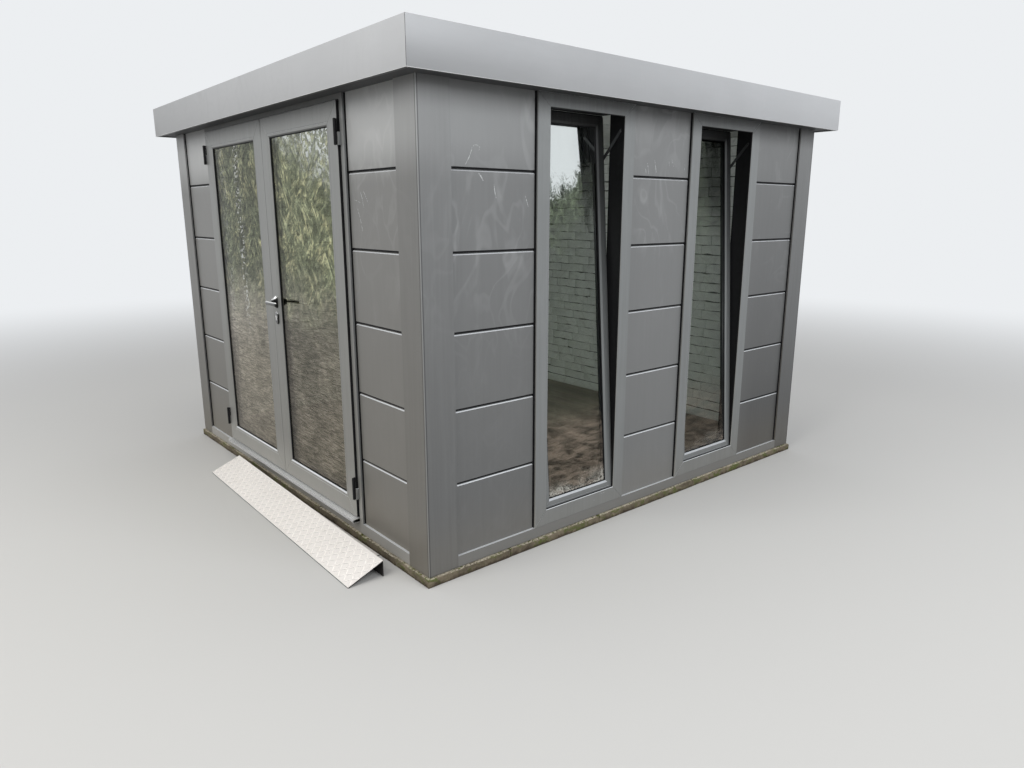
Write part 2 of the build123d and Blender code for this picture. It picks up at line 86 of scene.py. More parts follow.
# ---------------------------------------------------------------- user settings
class PodColours(bpy.types.PropertyGroup):
    """Finishes of the pod, as linear colours."""

    wall: FloatVectorProperty(name="Wall Paint",
        description="Satin paint of panels and posts", subtype="COLOR", default=(0.18, 0.182, 0.182))
    frame: FloatVectorProperty(name="Frame Paint",
        description="Satin paint of casings and door leaves", subtype="COLOR", default=(0.235, 0.243, 0.243))
    fascia: FloatVectorProperty(name="Fascia Paint",
        description="Paint of the roof's edge boards", subtype="COLOR", default=(0.46, 0.465, 0.475))
    # The rubber colour also paints shade: the black sheets in the joints, the reveals and under the ramp.
    rubber: FloatVectorProperty(name="Rubber",
        description="Gaskets and seals", subtype="COLOR", default=(0.009, 0.009, 0.01))
    metal: FloatVectorProperty(name="Bare Metal",
        description="Threshold and glazing spacers", subtype="COLOR", default=(0.76, 0.76, 0.75))
    plate: FloatVectorProperty(name="Tread Plate",
        description="Entry ramp", subtype="COLOR", default=(0.97, 0.92, 0.87))
    stone: FloatVectorProperty(name="Plinth Stone",
        description="Edging stones of the plinth", subtype="COLOR", default=(0.2, 0.165, 0.115))
    moss: FloatVectorProperty(name="Moss",
        description="Growth along the plinth", subtype="COLOR", default=(0.09, 0.115, 0.025))
    lining: FloatVectorProperty(name="Wall Lining",
        description="Painted courses inside", subtype="COLOR", default=(0.8, 0.83, 0.81))
    boards: FloatVectorProperty(name="Floor Boards",
        description="Boards inside", subtype="COLOR", default=(0.22, 0.18, 0.15))


class PodSizes(bpy.types.PropertyGroup):
    """Sizes of the trim and of the pattern pieces."""

    mitre_gap: FloatProperty(name="Mitre Gap",
        description="Fine line at each mitred corner", default=0.0006, unit="LENGTH")
    gasket: FloatProperty(name="Gasket Width",
        description="Rubber that shows round the glass", default=0.0045, unit="LENGTH")
    spacer: FloatProperty(name="Spacer Width",
        description="Metal spacer between the two panes", default=0.011, unit="LENGTH")
    stud_pitch: FloatProperty(name="Stud Pitch",
        description="Spacing of the ramp's raised bars", default=0.03, unit="LENGTH")
    stud_length: FloatProperty(name="Stud Length",
        description="Length of one raised bar", default=0.0385, unit="LENGTH")
    course: FloatProperty(name="Lining Course",
        description="Height of one course of the lining", default=0.07, unit="LENGTH")
    block: FloatProperty(name="Lining Block",
        description="Length of one block of the lining", default=0.23, unit="LENGTH")
    board: FloatProperty(name="Floor Board",
        description="Width of one floor board", default=0.142, unit="LENGTH")
    rib_pitch: FloatProperty(name="Roof Rib Pitch",
        description="Spacing of the roof sheet's ribs", default=0.235, unit="LENGTH")
    stones: IntProperty(name="Stones a Side", description="Edging stones along each side", default=5, min=2)
    seed: IntProperty(name="Seed", description="Start of the random draws", default=11)


# ---------------------------------------------------------------- shader maths
def operation(kind, turned=False):
    """A method of Value that makes one maths node."""
    def method(value, other=0.0):
        pair = (other, value) if turned else (value, other)
        return value.graph.node("Math", {"operation": kind}, dict(enumerate(pair)))
    return method


class Value:
    """An output socket that can stand in a sum as if it were a number."""

    def __init__(self, graph, socket):
        self.graph, self.socket = graph, socket

    __add__ = __radd__ = operation("ADD")
    __sub__, __rsub__ = operation("SUBTRACT"), operation("SUBTRACT", True)
    __mul__ = __rmul__ = operation("MULTIPLY")
    __abs__ = operation("ABSOLUTE")
    least, most = operation("MINIMUM"), operation("MAXIMUM")


class Graph:
    """The nodes of one material or world."""

    def __init__(self, owner):
        owner.use_nodes = True
        self.owner, self.tree = owner, owner.node_tree
        self.tree.nodes.clear()

    def node(self, kind, settings=None, inputs=None, output=0):
        """A new node with these settings and inputs, as the value of one of its outputs."""
        made = self.tree.nodes.new(f"ShaderNode{kind}")
        for key, value in (settings or {}).items():
            setattr(made, key, value)
        for key, value in (inputs or {}).items():
            if isinstance(value, Value):
                self.tree.links.new(value.socket, made.inputs[key])
            else:
                made.inputs[key].default_value = value
        return Value(self, made.outputs[output])

    def place(self):
        return self.node("TexCoord", output="Object")

    def axis(self, letter):
        return self.node("SeparateXYZ", None, {0: self.place()}, letter)

    def facing(self, letter):
        """One component of the surface's own normal."""
        return self.node("SeparateXYZ", None, {0: self.node("TexCoord", output="Normal")}, letter)

    def ledge(self):
        """1 where the surface looks up, where the finishes put pale dust and painted highlight."""
        return self.step(self.facing("Z"), 0.35, 0.62)

    def ridge(self, noise, width):
        """Thin winding lines where a noise crosses its middle."""
        return 1 - self.step(abs(noise - 0.5), width * 0.15, width)

    def noise(self, scale, detail=3.0, rough=0.5, warp=0.0, lean=0.0):
        """Noise, finer along the axes with a larger scale; lean turns it in the plane of the front."""
        scale = (scale,) * 3 if isinstance(scale, (int, float)) else scale
        place = self.place()
        if lean:
            settings, inputs = {"rotation_type": "Y_AXIS"}, {"Vector": place, "Angle": lean}
            place = self.node("VectorRotate", settings, inputs)
        place = self.node("VectorMath", {"operation": "MULTIPLY"}, {0: place, 1: scale})
        inputs = {"Vector": place, "Scale": 1.0, "Detail": detail, "Roughness": rough, "Distortion": warp}
        return self.node("TexNoise", None, inputs)

    def cells(self, scale, feature="F1"):
        inputs = {"Vector": self.place(), "Scale": scale}
        return self.node("TexVoronoi", {"feature": feature}, inputs, "Distance")

    def step(self, value, low, high):
        """0 below low, 1 above high and smooth between them."""
        inputs = {"Value": value, "From Min": low, "From Max": high}
        return self.node("MapRange", {"interpolation_type": "SMOOTHSTEP"}, inputs)

    def blend(self, first, second, share):
        first, second = (c if isinstance(c, Value) else (*c, 1.0) for c in (first, second))
        return self.node("Mix", {"data_type": "RGBA"}, {0: share, 6: first, 7: second}, 2)

    def shade(self, colour, tone):
        """A colour made lighter or darker by a number near 1."""
        if not isinstance(colour, Value):
            colour = self.node("CombineXYZ", None, dict(enumerate(colour)))
        return self.node("VectorMath", {"operation": "SCALE"}, {0: colour, "Scale": tone})

    def bump(self, height, distance, strength=1.0, under=None):
        inputs = {"Height": height, "Distance": distance, "Strength": strength}
        if under is not None:
            inputs["Normal"] = under
        return self.node("Bump", None, inputs)

    def surface(self, base, roughness, normal=None, specular=0.5, **inputs):
        inputs |= {"Base Color": base, "Roughness": roughness, "Specular IOR Level": specular}
        if normal is not None:
            inputs["Normal"] = normal
        return self.node("BsdfPrincipled", None, inputs)

    def plain(self, base, roughness, relief, depth, strength=0.4, **inputs):
        """A surface with one relief."""
        return self.surface(base, roughness, self.bump(relief, depth, strength), **inputs)

    def mixed(self, share, first, second):
        return self.node("MixShader", None, {0: share, 1: first, 2: second})

    def glass(self, share, tint, mirror, roughness):
        """Clear glass of a tint, with a share of its light mirrored."""
        clear = self.node("BsdfTransparent", None, {"Color": tint})
        return self.mixed(share, clear, self.surface(mirror, roughness, Metallic=1.0))

    def finish(self, shader, kind="Material"):
        out = self.tree.nodes.new(f"ShaderNodeOutput{kind}")
        self.tree.links.new(shader.socket, out.inputs["Surface"])
        return self.owner


def scaled(colour, share):
    return [share * x for x in colour]


# Colours that several finishes share
# The pale dust colour also paints highlights on ledges.
# The soil colour also paints a warm light on front faces.
SOIL_AND_WARM_LIGHT, DUST_AND_SHEEN, SHADE = (0.34, 0.29, 0.21), (0.8, 0.82, 0.84), (0.012, 0.012, 0.012)
# These sky, leaf, ground and gravel colours paint reflections of a garden in the glass.
PALE_SKY, WINDOW_DUST = (0.86, 0.9, 0.89), (0.66, 0.65, 0.6)
FAR_LEAVES, FAR_GROUND = (0.3, 0.36, 0.24), (0.5, 0.4, 0.32)
DARK_LEAVES, SUNNY_LEAVES, GRAVEL = (0.29, 0.31, 0.19), (0.5, 0.47, 0.27), (0.43, 0.385, 0.325)
BRIGHT_SKY, DROPS = (0.95, 0.97, 0.96), (0.85, 0.85, 0.8)
WINDOW_TINT, DOOR_TINT = (0.95, 0.97, 0.955, 1.0), (0.75, 0.77, 0.68, 1.0)


def satin_paint(g, colour, grain=(70, 70, 2.2), lined=0.1, wiped=0.0, painted_height_light=0.0, eaves_shade=0.0, sky=0.0,
                foot=0.0, along=0.0, dust=0.85, lip=None, folded=False):
    """Flake paint on sheet steel, with rolling lines and wipe marks, ledges pale with dust and painted
    highlight, painted shade on undersides, below the roof and in recesses, and painted light by height,
    facing and place along the walls.
    """
    height, deep = g.axis("Z"), g.axis("Y")
    front = g.step(0 - g.facing("Y"), 0.4, 0.8)
    lines = g.noise(grain, 2.0)
    cloud = g.noise(1.7, 4.0, 0.55, 0.4)
    flake = g.noise(900, 1.0)
    stroke = g.ridge(g.noise((3.8, 3.8, 2.5), 1.0, 0.4, 1.6), 0.035)
    broad = g.step(g.noise((5.5, 5.5, 2.0), 3.0, 0.5, 2.4), 0.53, 0.66)
    wipe = (stroke * 0.5 + broad * 0.5) * g.step(cloud, 0.4, 0.56) * (g.step(height, 0.9, 1.5) * 0.85 + 0.15)
    splash = 1 - g.step(height + (cloud - 0.5) * 0.2, 0.06, 0.42)
    tone = 1 + (lines - 0.5) * lined + (cloud - 0.5) * 0.18 + (flake - 0.5) * 0.05 + wipe * wiped
    # Painted shade below the roof's edge, painted light that grows with height, and painted light low on
    # front faces.
    tone = tone + (height - 1.1) * painted_height_light - g.step(height, 2.06, 2.195) * eaves_shade * 1.12 + splash * front * foot
    ledge = g.ledge()
    # Painted sky sheen: lighter at the top, most at the near end and on front faces; the middle of each wall
    # lighter lower down and the far end darker.
    if sky:
        near = 1 - g.step(deep, -1.35, -0.2)
        middle = 1 - g.step(abs(deep), 0.25, 0.7)
        tone = tone + g.step(height, 1.78, 2.0) * (0.08 + near * 0.36 + front * 0.7) * sky
        far = g.step(deep, 0.7, 1.1) * (2.6 - height) * 0.14
        tone = tone + (middle * (1.6 - height * 0.6) * 0.18 - far) * sky
    # Up-facing faces set back from the outer face lose the pale ledge tone and are darkened: painted shade in
    # the recesses.
    if lip is not None:
        inner = g.step(HALF - lip - abs(g.axis("X")).most(abs(deep)), 0.003, 0.0055)
        tone, ledge = tone - ledge * inner * 0.5, ledge * (1 - inner)
    # Painted light that grows along the length of each face.
    if along:
        tone = tone + (g.axis("X") * front + deep * g.step(g.facing("X"), 0.4, 0.8)) * along
    # Soil splashed near the foot, and a painted warm light on front faces that is strongest low down.
    soil = splash * 0.14 + front * (1.2 - height * 0.4) * 0.2
    base = g.blend(g.shade(colour, tone), SOIL_AND_WARM_LIGHT, soil)
    # Ledges pale with dust and painted highlight; faces that look down in painted shade.
    under = g.step(0 - g.facing("Z"), 0.5, 0.8)
    base = g.blend(g.blend(base, DUST_AND_SHEEN, ledge * dust), SHADE, under * 0.9)
    # Posts: the front face in painted shade, a dark line for the joint by the corner and a painted highlight
    # on the bend.
    if folded:
        base = g.shade(base, 1 - front * 0.1)
        away = HALF - abs(g.axis("X")).least(abs(deep))
        line = g.step(away, 0.0042, 0.0052) * (1 - g.step(away, 0.0085, 0.0105))
        fold = g.step(abs(g.facing("X") * g.facing("Y")), 0.05, 0.25)
        base = g.blend(g.blend(base, (0.02, 0.02, 0.02), line * 0.6), (0.55, 0.57, 0.58), fold * 0.16)
    waves = g.bump(g.noise(1.4, 1.0), 0.004, 0.35)
    skin = g.bump(g.noise(260, 2.0) * 0.6 + lines * 0.4, 0.0003, 0.35, waves)
    return g.surface(base, 0.4 + (cloud - 0.5) * 0.14 + wipe * 0.12 + splash * 0.12, skin, Metallic=0.3)


def sash_paint(g, c):
    """Paint of the sashes, lost in the shade of the casing towards the head."""
    lines = g.noise((90, 90, 3), 2.0)
    shade = g.step(g.axis("Z"), 0.9, 2.05)
    base = g.shade(scaled(c.frame, 0.85), 1.05 + (lines - 0.5) * 0.2 - shade * 0.88)
    # Pale ledges of dust and painted highlight, fading out in the painted shade towards the head.
    base = g.blend(base, (0.6, 0.62, 0.64), g.ledge() * (0.8 - shade * 0.8))
    return g.plain(base, 0.4 + lines * 0.06, g.noise(260, 2.0), 0.0003, 0.3, Metallic=0.3)


def rubber(g, c):
    base = g.shade(c.rubber, 1 + (g.noise(45, 3.0) - 0.5) * 0.8)
    return g.plain(base, 0.55 + g.noise(30) * 0.2, g.noise(600, 1.0), 0.0002, specular=0.2)


def black_coat(g, colour):
    """Dark satin coating of hinges, stays and handles, worn here and there."""
    worn = g.step(g.noise(38, 5.0, 0.65), 0.6, 0.72)
    base = g.blend(g.shade(colour, 1 + (g.noise(12) - 0.5) * 0.5), (0.12, 0.12, 0.12), worn * 0.35)
    return g.plain(base, 0.42 + worn * 0.15, g.noise(500, 2.0), 0.0002, Metallic=0.2)


def drawn_metal(g, c):
    """Drawn aluminium, with its grain along the front."""
    lines = g.noise((3, 260, 260), 3.0, 0.6)
    stain = g.step(g.noise(14, 5.0, 0.65), 0.5, 0.68)
    base = g.blend(g.shade(c.metal, 0.92 + lines * 0.16), (0.24, 0.22, 0.19), stain * 0.1)
    return g.plain(base, 0.34 + stain * 0.2 + (lines - 0.5) * 0.12, lines, 0.0003, 0.5, Metallic=0.35)


def handle_chrome(g, c):
    """Polished metal with a painted reflection of a dark garden: light above and on the left, dark on the
    right and below.
    """
    smear = g.noise(60, 4.0, 0.6)
    across = g.facing("X")
    tone = 0.2 + g.step(g.facing("Z"), 0.05, 0.6) * 0.75 + g.step(0 - across, 0.1, 0.6) * 0.55
    tone = tone - g.step(across, 0.15, 0.5) * 0.18
    base = g.shade((0.9, 0.9, 0.88), tone + (smear - 0.5) * 0.1)
    return g.plain(base, 0.14 + smear * 0.16, smear, 0.0002, 0.3, Metallic=0.95)


def tread_metal(g, colour, worn=0.0):
    """Pale rolled plate with dried soil between its raised bars."""
    soil = g.step(g.noise(26, 6.0, 0.7, 0.8), 0.5, 0.66)
    film = g.noise(3.2, 4.0)
    base = g.blend(g.shade(colour, 0.96 + film * 0.12 + worn), (0.56, 0.5, 0.44), soil * 0.14)
    fleck = 1 - g.step(g.cells(55), 0.06, 0.12)
    base = g.blend(base, (0.1, 0.08, 0.06), fleck * g.step(g.noise(7), 0.55, 0.65) * 0.8)
    # Faces that do not look up are painted near black: painted shade under the plate and on its edges.
    base = g.blend((0.02, 0.018, 0.016), base, g.step(g.facing("Z"), 0.3, 0.6))
    return g.plain(base, 0.44 + soil * 0.2 - worn, g.noise(190, 3.0), 0.0004)


def window_pane(g, c):
    """Panes that show the room, with a painted reflection of sky over dark leaves at the head and of the
    ground low down, and dust at the foot.
    """
    height = g.axis("Z")
    film = g.step(g.noise((7, 7, 2.2), 6.0, 0.65, 1.6), 0.48, 0.72)
    farther = g.step(g.axis("Y"), -0.1, 0.1)
    low = 1 - g.step(height + (g.noise(7) - 0.5) * 0.22, 0.23, 0.31)
    dust = g.step(g.noise(120, 5.0, 0.75), 0.38, 0.56) * (1 - farther * 0.6) * low
    leafy = g.noise(26, 8.0, 0.78, 1.0)
    hill = (g.noise((5, 5, 4), 5.0, 0.6, 0.8) - 0.5) * 0.5
    # The painted reflection: sky over leaves at the head, ground low down, and a darker head in the far
    # window.
    level = height - g.axis("Y") * 0.35 + hill + (leafy - 0.5) * 0.5
    sky = g.step(level, 2.0, 2.1)
    bush = g.step(level, 1.72, 1.95) * (1 - sky)
    ground = 1 - g.step(height + (leafy - 0.5) * 0.3, 0.55, 0.75)
    dim = g.step(height, 1.45, 1.85) * farther
    streak = leafy + (g.noise((9, 9, 50), 5.0, 0.68, 0.8) - leafy) * ground
    tone = g.step(streak, 0.36, 0.66) * (1 + ground * 0.5 - dim * 0.8)
    mirror = g.shade(g.blend(FAR_LEAVES, FAR_GROUND, ground), tone)
    mirror = g.blend(g.blend(mirror, PALE_SKY, sky), WINDOW_DUST, dust)
    share = 0.04 + film * 0.03 + dust * 0.75 + sky * 0.82 + bush * 0.4
    share = share + ground * (0.16 - farther * 0.1) + dim * 0.45
    return g.glass(share, WINDOW_TINT, mirror, 0.03 + film * 0.05 + dust * 0.35)


def door_pane(g, c):
    """Panes seen at a low angle, with a painted reflection of leaves above, gravel below and sky at the head,
    and a run of drops.
    """
    height, across = g.axis("Z"), g.axis("X")
    facing = g.node("LayerWeight", None, {"Blend": 0.28}, "Facing")
    left = 1 - g.step(across, -0.1, 0.1)
    clump = g.noise((5, 5, 4), 4.0, 0.6, 1.0)
    upper = g.step(height + (clump - 0.5) * 0.6, 0.95, 1.45)
    blades, fronds = (
        g.step(g.noise(scale, 5.0, 0.66, 0.9, lean), 0.42, 0.64)
        for scale, lean in (((42, 42, 10), 0.5), ((36, 36, 11), -0.9)))
    pick = g.step(g.noise(3.6, 3.0, 0.5, 1.5), 0.44, 0.56)
    strokes = blades * pick + fronds * (1 - pick)
    leafy = strokes * 0.55 + g.step(g.noise(30, 7.0, 0.78, 0.8), 0.36, 0.64) * 0.5
    stones = g.step(g.noise((17, 17, 135), 4.0, 0.62, 0.25), 0.3, 0.72) * 0.5
    stones = stones + g.noise((2, 2, 26), 4.0, 0.6) * 0.46
    grain = leafy * upper + stones * (1 - upper)
    # Painted shade along the left edge of each pane; the left pane's painted reflection lighter low down and
    # darker up high.
    pane = across + 0.8 - g.step(across, 0.0, 0.01) * 0.909
    edge = 1 - g.step(pane + (clump - 0.5) * 0.04, 0.03, 0.11)
    tone = (0.26 + grain * 1.4) * (0.35 + clump * 1.3) * (1 - edge * 0.38) + left * (0.26 - upper * 0.5)
    sunny = strokes * g.step(g.noise(7, 4.0, 0.6), 0.4, 0.62)
    leaves = g.blend(DARK_LEAVES, SUNNY_LEAVES, sunny)
    mirror = g.shade(g.blend(GRAVEL, leaves, upper), tone * (0.45 + tone * 0.55))
    # Painted sky light towards the head and the right, showing through the leaves.
    light = g.step(height + across * 0.45 + (clump - 0.5) * 0.5, 2.02, 2.32)
    sky = g.step(g.noise(22, 7.0, 0.75, 1.2), 0.5, 0.56) * light
    band = 1 - g.step(abs(across + 0.44 + (clump - 0.5) * 0.08), 0.015, 0.06)
    beads = g.step(g.noise((46, 46, 60), 3.0, 0.6), 0.53, 0.62) * g.step(height, 0.8, 1.1)
    drops = beads * (band + (1 - g.step(abs(across + 0.68), 0.02, 0.07)) * 0.35)
    mirror = g.shade(mirror, 1 - band * 0.5 * upper)
    mirror = g.blend(mirror, BRIGHT_SKY, (sky * 0.9).most(light * 0.22))
    mirror = g.blend(mirror, DROPS, drops * 0.85)
    share = 0.18 + facing * 0.85 + drops * 0.2 + sky * 0.25
    return g.glass(share, DOOR_TINT, mirror, 0.07 + drops * 0.3)


def edging_stone(g, c):
    """Weathered concrete edging with moss in its hollows and soil at its foot."""
    grit = g.noise(75, 6.0, 0.7)
    patch = g.noise(6, 5.0, 0.65, 0.8)
    moss = g.step(g.noise((15, 15, 26), 6.0, 0.72, 0.6), 0.47, 0.58)
    soil = 1 - g.step(g.axis("Z") + (g.noise(20, 5.0, 0.7) - 0.5) * 0.07, 0.002, 0.02)
    base = g.shade(c.stone, 0.45 + grit * 0.8 + (patch - 0.5) * 1.9)
    base = g.blend(base, c.moss, moss * g.step(patch, 0.4, 0.58) * 0.85)
    # Paler patches where the stone looks up.
    pale_top = g.ledge() * g.step(g.noise(70, 5.0, 0.75), 0.4, 0.56)
    base = g.blend(base, (0.52, 0.47, 0.37), pale_top * 0.85)
    base = g.blend(base, (0.045, 0.032, 0.022), soil * 0.8)
    return g.plain(base, 0.92, grit * 0.7 + moss * 0.5, 0.004, 0.8, specular=0.25)


def moss_growth(g, c):
    green = g.shade(c.moss, 0.55 + g.noise(140, 5.0, 0.7) * 0.9)
    base = g.blend(green, (0.17, 0.13, 0.05), g.noise(22) * 0.5)
    return g.plain(base, 0.95, g.noise(420, 3.0), 0.003, 0.8)


def painted_blocks(g, c):
    """Rough pale blocks of the room's lining."""
    face = g.noise((16, 16, 34), 6.0, 0.62, 0.7)
    tone = 0.74 + face * 0.42 + (g.noise(1.3, 3.0) - 0.5) * 0.3
    crack = 1 - g.step(g.cells(7.5, "DISTANCE_TO_EDGE"), 0.004, 0.02)
    base = g.blend(g.shade(c.lining, tone), (0.12, 0.13, 0.12), crack * 0.16)
    return g.plain(base, 0.85, face, 0.006, 0.7)


def floor_wood(g, c):
    grain = g.noise((4, 120, 60), 5.0, 0.6, 0.5)
    board = g.noise((0.6, 6.5, 1), 1.0)
    base = g.shade(c.boards, 0.55 + grain * 0.6 + (board - 0.5) * 0.8)
    return g.plain(base, 0.6 - grain * 0.15, grain, 0.0008, 0.5)


def roof_skin(g, c):
    water = g.step(g.noise(2.4, 5.0, 0.6, 0.8), 0.48, 0.64)
    grit = g.noise(120, 4.0, 0.7)
    base = g.blend(g.shade((0.16, 0.165, 0.17), 0.8 + grit * 0.4), (0.22, 0.21, 0.18), water * 0.5)
    return g.plain(base, 0.55 + water * 0.2, grit, 0.0006, 0.5, Metallic=0.2)


# Near-black lining under the roof's overhang: painted shade.
def soffit_shade_lining(g, c):
    base = g.shade((0.035, 0.036, 0.038), 0.8 + g.noise((3, 60, 3), 3.0) * 0.4)
    return g.plain(base, 0.65, g.noise(220), 0.0004)


def chalk_mark(g, c):
    broken = g.step(g.noise(130, 4.0, 0.7), 0.42, 0.58)
    base = g.blend((0.21, 0.213, 0.213), (0.6, 0.61, 0.61), broken)
    return g.plain(base, 0.75, g.noise(700), 0.0002)


FINISHES = {
    "wall_paint": lambda g, c: satin_paint(
        g, c.wall, wiped=0.38, painted_height_light=0.2, eaves_shade=0.62, sky=1.08, lip=PANEL_SUNK),
    "post_paint": lambda g, c: satin_paint(
        g, c.wall, lined=0.22, wiped=0.15, painted_height_light=0.2, eaves_shade=0.62, sky=0.78, lip=0.0, folded=True),
    "rail_paint": lambda g, c: satin_paint(g, scaled(c.wall, 1.04), grain=(2, 2, 90), foot=1.3),
    "frame_paint": lambda g, c: satin_paint(
        g, c.frame, lined=0.22, wiped=0.08, painted_height_light=0.06, eaves_shade=0.55, foot=0.85),
    "fascia_paint": lambda g, c: satin_paint(
        g, c.fascia, grain=(6, 6, 40), lined=0.05, along=0.12, dust=0.1),
    "dark_coat": lambda g, c: black_coat(g, (0.02, 0.021, 0.023)),
    "stay_metal": lambda g, c: black_coat(g, (0.042, 0.043, 0.045)),
    "joint_shadow": lambda g, c: black_coat(g, (0.13, 0.135, 0.13)),
    "tread_plate": lambda g, c: tread_metal(g, scaled(c.plate, 0.88)),
    "tread_bars": lambda g, c: tread_metal(g, c.plate, 0.08),
    "sash_paint": sash_paint, "rubber": rubber, "threshold_metal": drawn_metal, "handle_metal": handle_chrome,
    "door_glass": door_pane, "window_glass": window_pane, "edging_stone": edging_stone, "moss": moss_growth,
    "painted_blocks": painted_blocks, "floor_wood": floor_wood, "roof_skin": roof_skin,
    "soffit_shade_lining": soffit_shade_lining, "chalk_mark": chalk_mark,
}
MATERIALS = {}


def finish_of(name):
    """The finish with this name, made when it is first asked for."""
    if name not in MATERIALS:
        g = Graph(bpy.data.materials.new(name))
        MATERIALS[name] = g.finish(FINISHES[name](g, bpy.context.scene.pod_colours))
    return MATERIALS[name]


# ---------------------------------------------------------------- mesh making
def on_face(origin, right, up=(0, 0, 1)):
    """Matrix from (right, up, outward) to the frame of the pod."""
    right, up = Vector(right).normalized(), Vector(up).normalized()
    matrix = Matrix((right, up, right.cross(up))).transposed().to_4x4()
    matrix.translation = Vector(origin)
    return matrix


PLAN = Matrix.Identity(4)
FRONT = on_face((0, -HALF, 0), (1, 0, 0))
RIGHT = on_face((HALF, 0, 0), (0, 1, 0))
BACK = on_face((0, HALF, 0), (-1, 0, 0))
LEFT = on_face((-HALF, 0, 0), (0, -1, 0))
LEAF = on_face((0, -HALF - LEAF_PROUD, 0), (1, 0, 0))
LEAF_INNER = on_face((0, -HALF - LEAF_PROUD + LEAF_DEEP, 0), (-1, 0, 0))
RAMP = on_face(RAMP_FOOT, (math.cos(RAMP_TURN), -math.sin(RAMP_TURN), 0), RAMP_RUN)


def rounds(steps):
    """The angles of one round."""
    return [2 * math.pi * n / steps for n in range(steps)]


class Piece:
    """The faces of one piece, gathered and then kept as a mesh object."""

    def __init__(self, place=PLAN):
        self.bm, self.place = bmesh.new(), place

    def skin(self, rings, bevel=0.0):
        """Join rings of points one to the next, and close both ends."""
        rows = [[self.bm.verts.new(self.place @ Vector(point)) for point in ring] for ring in rings]
        count = len(rows[0])
        faces = [
            self.bm.faces.new((a[k], a[(k + 1) % count], b[(k + 1) % count], b[k]))
            for a, b in zip(rows, rows[1:]) for k in range(count)
        ]
        faces += [self.bm.faces.new(rows[0][::-1]), self.bm.faces.new(rows[-1])]
        if bevel:
            for face in faces:
                face.normal_update()
            edges = {e for f in faces for e in f.edges if e.calc_face_angle(0) > 0.5}
            bmesh.ops.bevel(self.bm, geom=list(edges), offset=bevel, segments=2, profile=0.5, affect="EDGES")
        return self

    def prism(self, outline, low, high, bevel=0.0):
        return self.skin([[(u, v, w) for u, v in outline] for w in (low, high)], bevel)

    def block(self, corner, opposite, bevel=0.0):
        (u0, u1), (v0, v1), (w0, w1) = (sorted(pair) for pair in zip(corner, opposite))
        return self.prism([(u0, v0), (u1, v0), (u1, v1), (u0, v1)], w0, w1, bevel)

    def loop(self, rect, profile, gap=0.0, shares=(1, 1, 1, 1)):
        """Four mitred bars round a rectangle, of a profile of (inward, outward) points.

        The shares scale the inward part for the left, low, right and high bar.
        """
        u0, v0, u1, v1 = rect
        left, low, right, high = shares
        for side in range(4):
            starts, stops = [], []
            for inward, outward in profile:
                ua, va = u0 + inward * left, v0 + inward * low
                ub, vb = u1 - inward * right, v1 - inward * high
                corners = [Vector(corner) for corner in ((ua, va), (ub, va), (ub, vb), (ua, vb))]
                a, b = corners[side], corners[(side + 1) % 4]
                ease = (b - a).normalized() * gap
                starts.append((*(a + ease), outward))
                stops.append((*(b - ease), outward))
            self.skin([starts, stops])
        return self

    def tube(self, points, radius, taper, flat=1.75, steps=14):
        """A flattened bar along points that lie in one level, with a share of the radius at each."""
        points, rings, side = [Vector(p) for p in points], [], None
        for k, point in enumerate(points):
            along = (points[min(k + 1, len(points) - 1)] - points[max(k - 1, 0)]).normalized()
            if side is None:
                side = along.cross(Vector((0, 1, 0))).normalized()
            side = (side - along * side.dot(along)).normalized()
            up, wide = along.cross(side), radius * taper[k]
            high = wide * flat
            rings.append([
                point + side * (math.cos(t) * wide) + up * (math.sin(t) * high) for t in rounds(steps)
            ])
        return self.skin(rings)

    def turned(self, centre, axis, profile, steps=24):
        """Rings of (radius, height) about an axis, closed to a point at both ends."""
        axis, centre = Vector(axis).normalized(), Vector(centre)
        side = axis.orthogonal().normalized()
        other = axis.cross(side)
        profile = [(0.0, profile[0][1]), *profile, (0.0, profile[-1][1])]
        spokes = [side * math.cos(t) + other * math.sin(t) for t in rounds(steps)]
        return self.skin([[centre + axis * h + spoke * max(r, 1e-5) for spoke in spokes] for r, h in profile])

    def ribbon(self, width, points, thick=0.0003):
        """A flat mark along points of a face, with narrow ends."""
        points = [Vector((u, v, -0.0001)) for u, v in points]
        rings, last, up = [], len(points) - 1, Vector((0, 0, thick))
        for k, point in enumerate(points):
            along = (points[min(k + 1, last)] - points[max(k - 1, 0)]).normalized()
            side = Vector((-along.y, along.x, 0)) * width * (0.2 if k in (0, last) else 0.5)
            rings.append([point - side, point + side, point + side * 0.6 + up, point - side * 0.6 + up])
        return self.skin(rings)

    def lump(self, centre, size, draw):
        made = bmesh.ops.create_icosphere(self.bm, subdivisions=1, radius=1.0)
        for vert in made["verts"]:
            jitter = draw.uniform(0.75, 1.2)
            offset = Vector(c * s * jitter for c, s in zip(vert.co, size))
            vert.co = self.place @ (Vector(centre) + offset)

    def keep(self, name, finish, body=BODY, slot=None, replaces=(), crease=32):
        """Make the object, let it ride on its body and hide the parts of the frame it replaces."""
        bmesh.ops.remove_doubles(self.bm, verts=self.bm.verts, dist=1e-6)
        bmesh.ops.recalc_face_normals(self.bm, faces=self.bm.faces)
        mesh = bpy.data.meshes.new(name)
        self.bm.to_mesh(mesh)
        self.bm.free()
        mesh.polygons.foreach_set("use_smooth", [True] * len(mesh.polygons))
        mesh.set_sharp_from_angle(angle=math.radians(crease))
        mesh.materials.append(finish_of(finish))
        made = linked(name, mesh)
        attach(made, body)
        if replaces:
            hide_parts(*replaces)


def linked(name, data):
    """An object of the scene with this data."""
    made = bpy.data.objects.new(name, data)
    bpy.context.scene.collection.objects.link(made)
    return made


